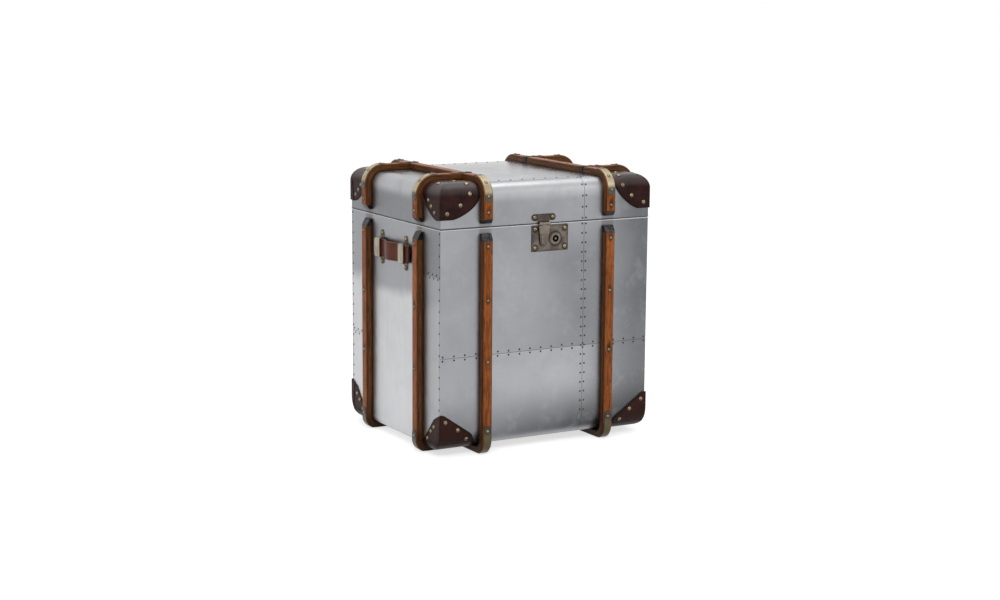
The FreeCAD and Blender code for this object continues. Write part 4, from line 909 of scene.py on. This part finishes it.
LOOKS = {
    "sheet": aluminium(),
    "slat_long": slat_wood("slat_wood_long", "y", BASE_BEND_FRONT, FRONT_NAIL_LEVELS),
    "slat_side": slat_wood("slat_wood_side", "x", BASE_BEND_SIDE, SIDE_NAIL_LEVELS),
    "cap": dark_cap(),
    "guard": guard_brass(),
    "corner": corner_leather(),
    "nail": nail_brass(),
    "nail_rim": metal("nail_rim_patina", RIM_DARK, RIM_MID, 0.45, 180.0, 0.6).material,
    "lock": lock_bronze(),
    "plug": plug_brass(),
    "bracket": bracket_brass(),
    "strap": strap_leather(),
    "steel": metal("hinge_steel", STEEL_DARK, STEEL_BRIGHT, 0.36, 110.0).material,
    "rivet": metal("seam_rivet", RIVET_DARK, RIVET_MID, 0.40, 300.0).material,
    "lip": sheet_lip(),
    "plywood": plywood(),
    "cloth": lining_cloth(),
}


def look_of(name):
    """Which look a node of the part takes, by what its name says."""
    if "sheet" in name:
        return "sheet"
    if "nails" in name:
        return "nail"
    if "caps" in name or "tee" in name:
        return "cap"
    if "guards" in name:
        return "guard"
    if "side_slat" in name or "foot_slat" in name:
        return "slat_side"
    if "slat" in name:
        return "slat_long"
    if "leather" in name:
        return "corner"
    if "strap" in name:
        return "strap"
    if "bracket" in name:
        return "bracket"
    if name == "lock_plug":
        return "plug"
    if name in ("lock_case", "lock_bolt", "hinge_pins"):
        return "steel"
    if "lock" in name or "hasp" in name or "hinge" in name:
        return "lock"
    if "lining" in name:
        return "cloth"
    return "plywood"


for node_name, node_object in nodes.items():
    node_object.data.materials.clear()
    node_object.data.materials.append(LOOKS[look_of(node_name)])


# Modelled pieces: how near points count as one, then the shape and the fineness of domes
MERGE = 1e-6
DOME_SINK = 0.0002
DOME_RIM = 0.16
DOME_SHOULDER = 0.97
NAIL_SIDES = 20
NAIL_RINGS = 5
RIM_RINGS = 2
RIVET_SIDES = 10
RIVET_RINGS = 3


def dome(mesh, centre, normal, radius, tall, rings, sides):
    """Low dome with a small upright rim, added to a mesh under construction."""
    turn = normal.to_track_quat("Z", "Y").to_matrix()
    profile = [(radius, -DOME_SINK), (radius, DOME_RIM * tall)]
    for step in range(1, rings):
        angle = 0.5 * math.pi * step / rings
        lift = tall * (DOME_RIM + (1 - DOME_RIM) * math.sin(angle))
        profile.append((radius * DOME_SHOULDER * math.cos(angle), lift))
    loops = []
    for reach, lift in profile:
        loop = []
        for side in range(sides):
            angle = 2 * math.pi * side / sides
            point = Vector((reach * math.cos(angle), reach * math.sin(angle), lift))
            loop.append(mesh.verts.new(centre + turn @ point))
        loops.append(loop)
    crown = mesh.verts.new(centre + normal * tall)
    for lower, upper in zip(loops, loops[1:]):
        for side in range(sides):
            after = (side + 1) % sides
            mesh.faces.new((lower[side], lower[after], upper[after], upper[side])).smooth = True
    for side in range(sides):
        mesh.faces.new((loops[-1][side], loops[-1][(side + 1) % sides], crown)).smooth = True
    mesh.faces.new(loops[0][::-1])


def piece(name, mesh, body, look):
    """An object from a finished mesh, which rides a body and fills a material slot."""
    data = bpy.data.meshes.new(name)
    mesh.to_mesh(data)
    mesh.free()
    data.materials.append(LOOKS[look])
    made = bpy.data.objects.new(name, data)
    bpy.context.scene.collection.objects.link(made)
    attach(made, body)
    return made


# Domes in place of the plain nail heads, each on a thin ring of dark patina
NAIL_NODES = {
    "case": ("case_leather_nails", "case_slat_nails", "case_fitting_nails"),
    "lid": ("lid_leather_nails", "lid_slat_nails"),
}
NAIL_LEAN = 0.06
NAIL_WORN = 0.95
RIM_SPREAD = 1.14
RIM_TALL = 0.0004
for body, names in NAIL_NODES.items():
    rims = bmesh.new()
    for node_name in names:
        mesh = bmesh.new()
        for base, normal, radius, tall in heads_of(node_name):
            lean = Vector([random.uniform(-NAIL_LEAN, NAIL_LEAN) for _ in range(3)])
            worn = radius * random.uniform(NAIL_WORN, 1.0)
            dome(mesh, base, (normal + lean).normalized(), worn, tall, NAIL_RINGS, NAIL_SIDES)
            dome(rims, base, normal, radius * RIM_SPREAD, RIM_TALL, RIM_RINGS, NAIL_SIDES)
        heads = piece(node_name + "_domes", mesh, body, "nail")
        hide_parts(node_name)
    piece(body + "_nail_rims", rims, body, "nail_rim")


# Lid's leather corners, with edges that swell outwards where the solids' edges are straight
SWELL_PITCH = 0.005
SHARP_ANGLE = math.radians(30)
FLAT_ANGLE = 0.002


def span(start, end, pitch):
    """Even places from a start to an end, as near to a pitch as fits."""
    count = max(1, round((end - start) / pitch))
    return [start + (end - start) * k / count for k in range(count + 1)]


def swollen(point):
    """Where a point of a lid corner goes: across on the front, down on the flap."""
    across = HALF_W - abs(point.x)
    deep = HALF_D - abs(point.y)
    drop = LID_TOP - point.z
    (reach, start), (near, low) = LID_FRONT_EDGE
    moved = point.copy()
    if across > 0 and drop > start:
        straight = reach - (drop - start) * (reach - near) / (low - start)
        down = max(drop - SWELL_START, 0) / SWELL_DEEP
        edge = reach * max(1 - down**SWELL_POWER, 0) ** (1 / SWELL_POWER)
        edge = straight + (edge - straight) * (SWELL_LEFT if point.x < 0 else SWELL_RIGHT)
        moved.x = math.copysign(HALF_W - across * edge / straight, point.x)
    elif across <= 0 and drop > LID_ROUND and 0 < deep < FLAP_REACH:
        grow = 1 + FLAP_SWELL * math.sin(math.pi * deep / FLAP_REACH)
        moved.z = LID_TOP - LID_ROUND - (drop - LID_ROUND) * grow
    return moved


def cut_across(mesh, axis, places):
    """Cuts the faces of a mesh along planes square to an axis."""
    for place in places:
        everything = mesh.verts[:] + mesh.edges[:] + mesh.faces[:]
        bmesh.ops.bisect_plane(mesh, geom=everything, dist=MERGE, plane_co=axis * place, plane_no=axis)


def swollen_corners():
    """The solids' leather corners, cut finely enough to take the swollen edges."""
    (_, start), (_, low) = LID_FRONT_EDGE
    drops = span(start, low, SWELL_PITCH)[1:-1]
    depths = span(0, FLAP_REACH, SWELL_PITCH)[1:]
    mesh = bmesh.new()
    mesh.from_mesh(nodes["lid_leather_corners"].data)
    bmesh.ops.remove_doubles(mesh, verts=mesh.verts, dist=MERGE)
    bmesh.ops.dissolve_limit(mesh, angle_limit=FLAT_ANGLE, verts=mesh.verts, edges=mesh.edges)
    cut_across(mesh, Vector((0, 0, 1)), [LID_TOP - drop for drop in drops])
    for way in (-1, 1):
        cut_across(mesh, Vector((0, way, 0)), [HALF_D - deep for deep in depths])
    for vertex in mesh.verts:
        vertex.co = swollen(vertex.co)
    for face in mesh.faces:
        face.smooth = True
    for edge in mesh.edges:
        edge.smooth = edge.calc_face_angle(0) < SHARP_ANGLE
    return mesh


corners = piece("lid_leather_swollen", swollen_corners(), "lid", "corner")
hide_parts("lid_leather_corners")
flats = corners.modifiers.new("flats", "WEIGHTED_NORMAL")
flats.keep_sharp = True


# Small rivets along the seams
def lid_wrap(along, run):
    """Point and direction on the lid's front after a run up from the lid line."""
    straight = LID_TOP - SPLIT - LID_ROUND
    if run <= straight:
        return Vector((along, -HALF_D, SPLIT + run)), Vector((0, -1, 0))
    angle = min((run - straight) / LID_ROUND, math.pi / 2)
    normal = Vector((0, -math.cos(angle), math.sin(angle)))
    centre = Vector((along, LID_ROUND - HALF_D, LID_TOP - LID_ROUND))
    return centre + normal * LID_ROUND, normal


def case_face(side, along, z):
    """Point and direction on an upright face of the body."""
    if side == "front":
        return Vector((along, -HALF_D, z)), Vector((0, -1, 0))
    if side == "back":
        return Vector((along, HALF_D, z)), Vector((0, 1, 0))
    if side == "left":
        return Vector((-HALF_W, along, z)), Vector((-1, 0, 0))
    return Vector((HALF_W, along, z)), Vector((1, 0, 0))


# Sizes, rows and spacings of the rivets
RIVET = 0.0023
RIVET_TALL = 0.0009
RIVET_DRIFT = 0.0004
ROW = 0.0048
ROW_STAGGER = 0.6
EDGE_ROW = 0.005
TOP_ROW = 0.006
UPRIGHT_PITCH = 0.0215
LEVEL_PITCH = 0.0285
SIDE_PITCH = 0.020
EDGE_PITCH = 0.024
LID_PITCH = 0.0245
TOP_PITCH = 0.031
SEAM_FOOT = 0.075
EDGE_FOOT = 0.110

# Room that a row of rivets leaves at the lid line, the hinges, the edges, the slats and the bend
LINE_ROOM = 0.006
EDGE_ROOM = 0.006
EDGE_LINE_ROOM = 0.008
LID_LINE_ROOM = 0.007
HINGE_ROOM = 0.045
CORNER_ROOM = 0.014
SLAT_ROOM = 0.022
TOP_SLAT_ROOM = 0.024
BEND_ROOM = 0.006


def clear_of_slats(point, normal):
    """Whether a rivet stays off the slats on its face of the case."""
    along, centre = (point.x, SLAT_X) if abs(normal.y) > 0.5 else (point.y, SLAT_Y)
    return abs(abs(along) - centre) > SLAT_HALF + RIVET


def case_rivets():
    """Rows on both sides of the seams of the case, and single rows near its upright edges."""
    places = []
    for shift in (-ROW, ROW):
        for z in span(SEAM_FOOT, SPLIT - LINE_ROOM, UPRIGHT_PITCH):
            places.append(case_face("front", FRONT_SEAM_X + shift, z))
        for x in span(EDGE_ROOM - HALF_W, HALF_W - EDGE_ROOM, LEVEL_PITCH):
            places.append(case_face("front", x, FRONT_SEAM_Z + shift))
        for z in span(SEAM_FOOT, SPLIT - HINGE_ROOM, UPRIGHT_PITCH):
            places.append(case_face("back", shift, z))
        for side in ("left", "right"):
            for y in span(CORNER_ROOM - HALF_D, -SLAT_Y - SLAT_ROOM, SIDE_PITCH):
                places.append(case_face(side, y + shift * ROW_STAGGER, SIDE_SEAM_FRONT_Z + shift))
            for y in span(SLAT_Y + SLAT_ROOM, HALF_D - CORNER_ROOM, SIDE_PITCH):
                places.append(case_face(side, y + shift * ROW_STAGGER, SIDE_SEAM_REAR_Z + shift))
    for side in ("left", "right"):
        for y in (-HALF_D + EDGE_ROW, HALF_D - EDGE_ROW):
            for z in span(EDGE_FOOT, SPLIT - EDGE_LINE_ROOM, EDGE_PITCH):
                places.append(case_face(side, y, z))
    return [place for place in places if clear_of_slats(*place)]


def lid_rivets():
    """Rows on both sides of the lid's front seam, and a row along the front and rear of its top."""
    places = []
    bend = LID_TOP - SPLIT - LID_ROUND + LID_ROUND * math.pi / 2
    for shift in (-ROW, ROW):
        for run in span(LID_LINE_ROOM, bend - BEND_ROOM, LID_PITCH):
            places.append(lid_wrap(FRONT_SEAM_X + shift, run))
    up = Vector((0, 0, 1))
    for y in (-1, 1):
        for x in span(TOP_SLAT_ROOM - SLAT_X, SLAT_X - TOP_SLAT_ROOM, TOP_PITCH):
            places.append((Vector((x, y * (HALF_D - LID_ROUND - TOP_ROW), LID_TOP)), up))
    return places


for name, body, places in (
    ("case_seam_rivets", "case", case_rivets()),
    ("lid_seam_rivets", "lid", lid_rivets()),
):
    mesh = bmesh.new()
    for point, normal in places:
        jitter = Vector([random.uniform(-RIVET_DRIFT, RIVET_DRIFT) for _ in range(3)])
        jitter -= normal * jitter.dot(normal)
        dome(mesh, point + jitter, normal, RIVET, RIVET_TALL, RIVET_RINGS, RIVET_SIDES)
    piece(name, mesh, body, "rivet")


# Rolled lips of the sheets along the lid line
LIP_OUT = 0.0008
LIP_TALL = 0.0022
LIP_STEPS = 6
LIP_SHARP = math.radians(60)


def lip(mesh, side, edge_z, way):
    """Half-round bead along one side, on the sheets' edge at the lid line, closed at the back."""
    half = HALF_W if side == "front" else HALF_D
    rows = []
    for step in range(LIP_STEPS + 1):
        angle = math.pi * step / LIP_STEPS
        out = LIP_OUT * math.sin(angle)
        z = edge_z + way * LIP_TALL * (1 - math.cos(angle)) / 2
        row = []
        for end in (-half - out, half + out):
            point, normal = case_face(side, end, z)
            row.append(mesh.verts.new(point + normal * out))
        rows.append(row)
    for lower, upper in zip(rows, rows[1:]):
        mesh.faces.new((lower[0], lower[1], upper[1], upper[0])).smooth = True
    if side != "front":
        mesh.faces.new([row[1] for row in reversed(rows)])
    mesh.faces.new((rows[0][1], rows[0][0], rows[-1][0], rows[-1][1]))


for body, edge_z, way in (("case", SPLIT - LIP_GAP, -1), ("lid", SPLIT + LIP_GAP, 1)):
    mesh = bmesh.new()
    for side in ("front", "left", "right"):
        lip(mesh, side, edge_z, way)
    bmesh.ops.remove_doubles(mesh, verts=mesh.verts, dist=MERGE)
    bmesh.ops.recalc_face_normals(mesh, faces=mesh.faces)
    for edge in mesh.edges:
        at_mitre = edge.calc_length() < LIP_TALL
        edge.smooth = not at_mitre and edge.calc_face_angle(0) < LIP_SHARP
    piece(body + "_sheet_lip", mesh, body, "lip")


# Floor, light and camera
def seen_directly(tree):
    """1 for rays that show the surface itself, to the camera or in a reflection."""
    ray = add(tree, "ShaderNodeLightPath").outputs
    seen = calc(tree, "ADD", ray["Is Camera Ray"], ray["Is Glossy Ray"], clamp=True)
    return calc(tree, "ADD", seen, ray["Is Transmission Ray"], clamp=True)


# Floor and world: tones, strengths and sizes
FLOOR_TONE = 0.65
FLOOR_LIFT = 0.66
FLOOR_REACH = 30.0
FLOOR_DROP = 0.0005
WORLD_LIGHT = 0.55


def make_floor():
    """Pale floor that keeps the shadow and lets a view from below through."""
    material = bpy.data.materials.new("floor_white")
    material.use_nodes = True
    tree = material.node_tree
    tree.nodes.clear()
    diffuse = add(tree, "ShaderNodeBsdfDiffuse", {"Color": rgb(FLOOR_TONE, FLOOR_TONE, FLOOR_TONE)})
    lift = product(tree, seen_directly(tree), FLOOR_LIFT)
    glow = add(tree, "ShaderNodeEmission", {"Strength": lift})
    total = add(tree, "ShaderNodeAddShader", {0: diffuse.outputs[0], 1: glow.outputs[0]})
    below = add(tree, "ShaderNodeNewGeometry").outputs["Backfacing"]
    clear = add(tree, "ShaderNodeBsdfTransparent")
    shown = add(tree, "ShaderNodeMixShader", {0: below, 1: total.outputs[0], 2: clear.outputs[0]})
    output = add(tree, "ShaderNodeOutputMaterial")
    tree.links.new(shown.outputs[0], output.inputs["Surface"])
    mesh = bpy.data.meshes.new("floor")
    far = FLOOR_REACH
    ring = [(-far, -far, 0), (far, -far, 0), (far, far, 0), (-far, far, 0)]
    mesh.from_pydata(ring, [], [(0, 1, 2, 3)])
    mesh.materials.append(material)
    floor = bpy.data.objects.new("floor", mesh)
    floor.location.z = -FLOOR_DROP
    bpy.context.scene.collection.objects.link(floor)


def make_world():
    """White to the eye and in reflections, softer as a light."""
    world = bpy.data.worlds.new("studio")
    world.use_nodes = True
    tree = world.node_tree
    tree.nodes.clear()
    strength = ramp(tree, seen_directly(tree), 0.0, 1.0, WORLD_LIGHT, 1.0)
    back = add(tree, "ShaderNodeBackground", {"Color": rgb(1, 1, 1), "Strength": strength})
    output = add(tree, "ShaderNodeOutputWorld")
    tree.links.new(back.outputs[0], output.inputs["Surface"])
    bpy.context.scene.world = world


# Name, place, aim, width and height, and power of each lamp
LAMPS = (
    ("key", (-1.6, -2.6, 2.9), (0, 0, 0.4), (2.2, 1.4), 48.0),
    ("top", (0.4, 0.2, 3.2), (0, 0, 0.5), (2.6, 2.0), 28.0),
    ("fill", (2.8, -2.2, 1.6), (0, 0, 0.35), (1.6, 1.6), 10.0),
)


def softbox(name, place, aim, size, power):
    """Rectangular lamp that faces its aim."""
    data = bpy.data.lights.new(name, "AREA")
    data.shape = "RECTANGLE"
    data.size, data.size_y = size
    data.energy = power
    lamp = bpy.data.objects.new(name, data)
    lamp.location = place
    lamp.rotation_euler = (Vector(aim) - Vector(place)).to_track_quat("-Z", "Y").to_euler()
    bpy.context.scene.collection.objects.link(lamp)


# Camera: its turns and its place, the lens and the sensor in millimetres
YAW = math.radians(29.86)
PITCH = math.radians(9.76)
ROLL = math.radians(-0.42)
CAMERA_PLACE = (-2.186, -3.820, 1.0596)
LENS = 68.49
SENSOR_WIDTH = 36.0
CLIP_END = 100.0


def make_camera():
    """Camera of the photograph, from its place and its turns."""
    data = bpy.data.cameras.new("camera")
    data.sensor_fit = "HORIZONTAL"
    data.sensor_width = SENSOR_WIDTH
    data.lens = LENS
    data.clip_end = CLIP_END
    ahead = Vector((math.sin(YAW) * math.cos(PITCH), math.cos(YAW) * math.cos(PITCH), -math.sin(PITCH)))
    level = Vector((math.cos(YAW), -math.sin(YAW), 0))
    down = ahead.cross(level)
    right = level * math.cos(ROLL) + down * math.sin(ROLL)
    up = level * math.sin(ROLL) - down * math.cos(ROLL)
    turn = Matrix((right, up, -ahead)).transposed()
    camera = bpy.data.objects.new("camera", data)
    camera.matrix_world = Matrix.Translation(CAMERA_PLACE) @ turn.to_4x4()
    bpy.context.scene.collection.objects.link(camera)
    bpy.context.scene.camera = camera


make_floor()
make_world()
for lamp in LAMPS:
    softbox(*lamp)
make_camera()
bpy.context.scene.view_settings.view_transform = "Standard"

bpy.context.view_layer.update()
